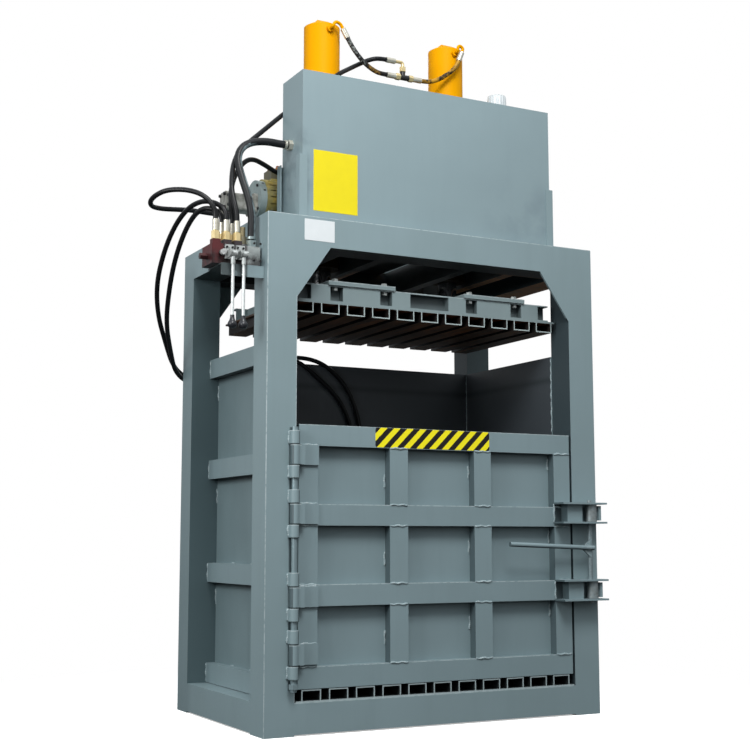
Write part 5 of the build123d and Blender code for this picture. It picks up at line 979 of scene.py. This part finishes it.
# %% Beads of the frame
frame_beads = []
for level in HINGE_LEVELS:
    for hand in (-1, 1):
        middle = level + hand * 68
        weld(frame_beads, (-703, -1.5, middle - 25), (-703, -1.5, middle + 25), KNUCKLE_BEAD)
for level in BAR_LEVELS:
    top = level + 43
    for hand in (-1, 1):
        for y in (139, 874):
            weld(frame_beads, (hand * 711, y, level - 40), (hand * 711, y, level + 40), BEAD)
        for y in (420, 640):
            weld(frame_beads, (hand * 672, y, top), (hand * 672, y + 40, top), TACK)
    for x in (-300, 0, 300):
        weld(frame_beads, (x, 882, top), (x + 40, 882, top), TACK)
for hand in (-1, 1):
    for z in (470, 920, 1390):
        weld(frame_beads, (hand * 671, 872, z), (hand * 671, 872, z + 70), CORNER_TACK)
    weld(frame_beads, (hand * 667, 139.5, 1240), (hand * 667, 139.5, 1588), TACK)
    weld(frame_beads, (hand * 664, 873, 1240), (hand * 664, 873, 1588), CORNER_BEAD)
piece_of("frame_weld_beads", frame_beads, weld_enamel, "frame")

# %% [markdown]
# ## Stickers
# Three thin sheets: hazard stripes on the door's top rail, a plain yellow one on the
# tank and a small white one on the front beam. A sticker is a rounded outline at two
# depths, with a fine bevel, so the light finds its edge.

# %% Sheets with round corners
CORNER_POINTS = 6
THICKNESS = 0.8
BEVEL = 0.4


def outline(width, height, corner):
    """Round a rectangle: a quarter circle of the corner's radius about each corner's
    centre, one after the other. Returns X and Z of the points in turn."""
    quarter = np.linspace(0, np.pi / 2, CORNER_POINTS)
    angle = (quarter[None, :] + np.arange(4)[:, None] * np.pi / 2).ravel()
    centre_x = np.repeat([1, -1, -1, 1], CORNER_POINTS) * (width / 2 - corner)
    centre_z = np.repeat([1, 1, -1, -1], CORNER_POINTS) * (height / 2 - corner)
    return np.c_[centre_x + corner * np.cos(angle), centre_z + corner * np.sin(angle)]


def sheet_on(face_y, left, right, bottom, top, corner):
    """The outline carried from the steel at face_y outwards: full size at the back and at
    the bevel's start, then drawn in by the bevel at the front."""
    middle = np.array([(left + right) / 2, (bottom + top) / 2])
    rings = []
    for y, inset in ((0.0, 0.0), (BEVEL - THICKNESS, 0.0), (-THICKNESS, BEVEL)):
        edge = outline(right - left - 2 * inset, top - bottom - 2 * inset, corner - inset)
        rings.append(np.c_[middle[0] + edge[:, 0], np.full(len(edge), face_y + y),
                           middle[1] + edge[:, 1]])
    return np.array(rings)


piece_of("hazard_sheet", [sheet_on(0, -314, 239, 1136, 1217.5, 9)], hazard_vinyl, "door",
         smooth=False)
piece_of("tank_sheet", [sheet_on(64, -571, -365, 2118, 2380, 2)], yellow_vinyl, "frame",
         smooth=False)
piece_of("beam_sheet", [sheet_on(0, -639, -503, 1973, 2062, 2)], white_vinyl, "frame",
         smooth=False)

# %% [markdown]
# ## Screws, plugs and ribs
# Cap screws hold the lever brackets and the bell housing, plugs close the pump's side
# ports, and the breather's cap is ribbed for the hand. A screw is a turned profile: the
# radius at each height, carried round an axis. The ribs are the same, but with a radius
# that also waves round the axis.

# %% Turned pieces
AXIS_PAIRS = {"x": (1, 2, 0), "y": (0, 2, 1), "z": (0, 1, 2)}


def turned(centre, axis, profile, around=18, ribs=0, rib_depth=0.0):
    """Rings round an axis through centre. Each row of profile is a place along the axis
    and a radius. With ribs, the radius gains rib_depth times the size of a cosine of that
    many half turns."""
    first, second, third = AXIS_PAIRS[axis]
    angle = np.arange(around) * 2 * np.pi / around
    wave = rib_depth * np.abs(np.cos(ribs * angle / 2)) if ribs else 0 * angle
    rows = np.array(profile, float)
    rings = np.empty((len(rows), around, 3))
    radius = rows[:, 1:2] + wave[None, :] * (rows[:, 1:2] > 1)
    rings[..., first] = centre[first] + radius * np.cos(angle)
    rings[..., second] = centre[second] + radius * np.sin(angle)
    rings[..., third] = centre[third] + rows[:, 0:1]
    return rings


def cap_screw(centre, axis, hand, head, height):
    """A socket head, with hand for the way it points along the axis: out from the seat,
    over a small chamfer, across the rim, then down into the socket."""
    rows = [(0, head), (height - 1, head), (height, head - 1), (height, 0.55 * head),
            (0.35 * height, 0.5 * head), (0.35 * height, 0.05)]
    return turned(centre, axis, [(hand * h, r) for h, r in rows], around=16)


print("a cap screw has", len(cap_screw((0, 0, 0), "y", -1, 5.0, 5.0)), "rings")

# %% Screws, plugs, ribs and glands
SPOOL_XS = (-943, -897)
LOW_HEAD = 5.0
screws = [cap_screw((x + aside, 54.0, 1921), "y", -1, 4.6, LOW_HEAD)
          for x in SPOOL_XS for aside in (-12, 12)]
screws += [cap_screw((x, 30.0, z), "y", -1, 5.0, LOW_HEAD)
           for x in (-848, -821) for z in (1871, 1941)]
piece_of("bracket_screws", screws, black_enamel, "frame")

MOTOR_Y, MOTOR_Z = 430, 2231
BOLT_CIRCLE = 74
RIM_CIRCLE = 87.4
bell_screws = [cap_screw((-690.0, MOTOR_Y + BOLT_CIRCLE * math.cos(a),
                          MOTOR_Z + BOLT_CIRCLE * math.sin(a)), "x", -1, 6.5, 7.0)
               for a in np.radians([40, 130, 220, 310])]
bell_screws += [turned((-672, MOTOR_Y - RIM_CIRCLE * math.cos(a),
                        MOTOR_Z + RIM_CIRCLE * math.sin(a)), "x",
                       [(-5, 0.1), (-5, 4), (5, 4), (5, 0.1)], around=12)
                for a in np.radians([20, 48])]
piece_of("bell_screws", bell_screws, black_enamel, "frame")

pump_plugs = [cap_screw((-822.5, 390.0, z), "y", -1, 6.5, 4.0) for z in (2230, 2189)]
piece_of("pump_plugs", pump_plugs, black_enamel, "frame")

RIBBED_CAP = [(26, 42.1), (28, 42.3), (86, 42.3), (92, 40), (94, 34), (94.3, 0.1)]
breather_ribs = [turned((436, 210, 2716), "z", RIBBED_CAP, around=108, ribs=18, rib_depth=2.4)]
piece_of("breather_ribs", breather_ribs, breather_white, "frame")

GLAND = [(-4, 11), (8, 11), (8, 8), (17, 7), (17, 0.1)]
glands = [turned((x, y, 2373), "z", GLAND, around=6) for x, y in ((-615, 430), (-590, 400))]
# Brass that has gone brown, with a dull sheen
gland_brass = bare_metal("brass cable gland, tarnished", "#9C5F2A", "#6E4220", 0.4)
piece_of("terminal_glands", glands, gland_brass, "frame")

# %% [markdown]
# ## The end

# %% Done
print("the scene is dressed")
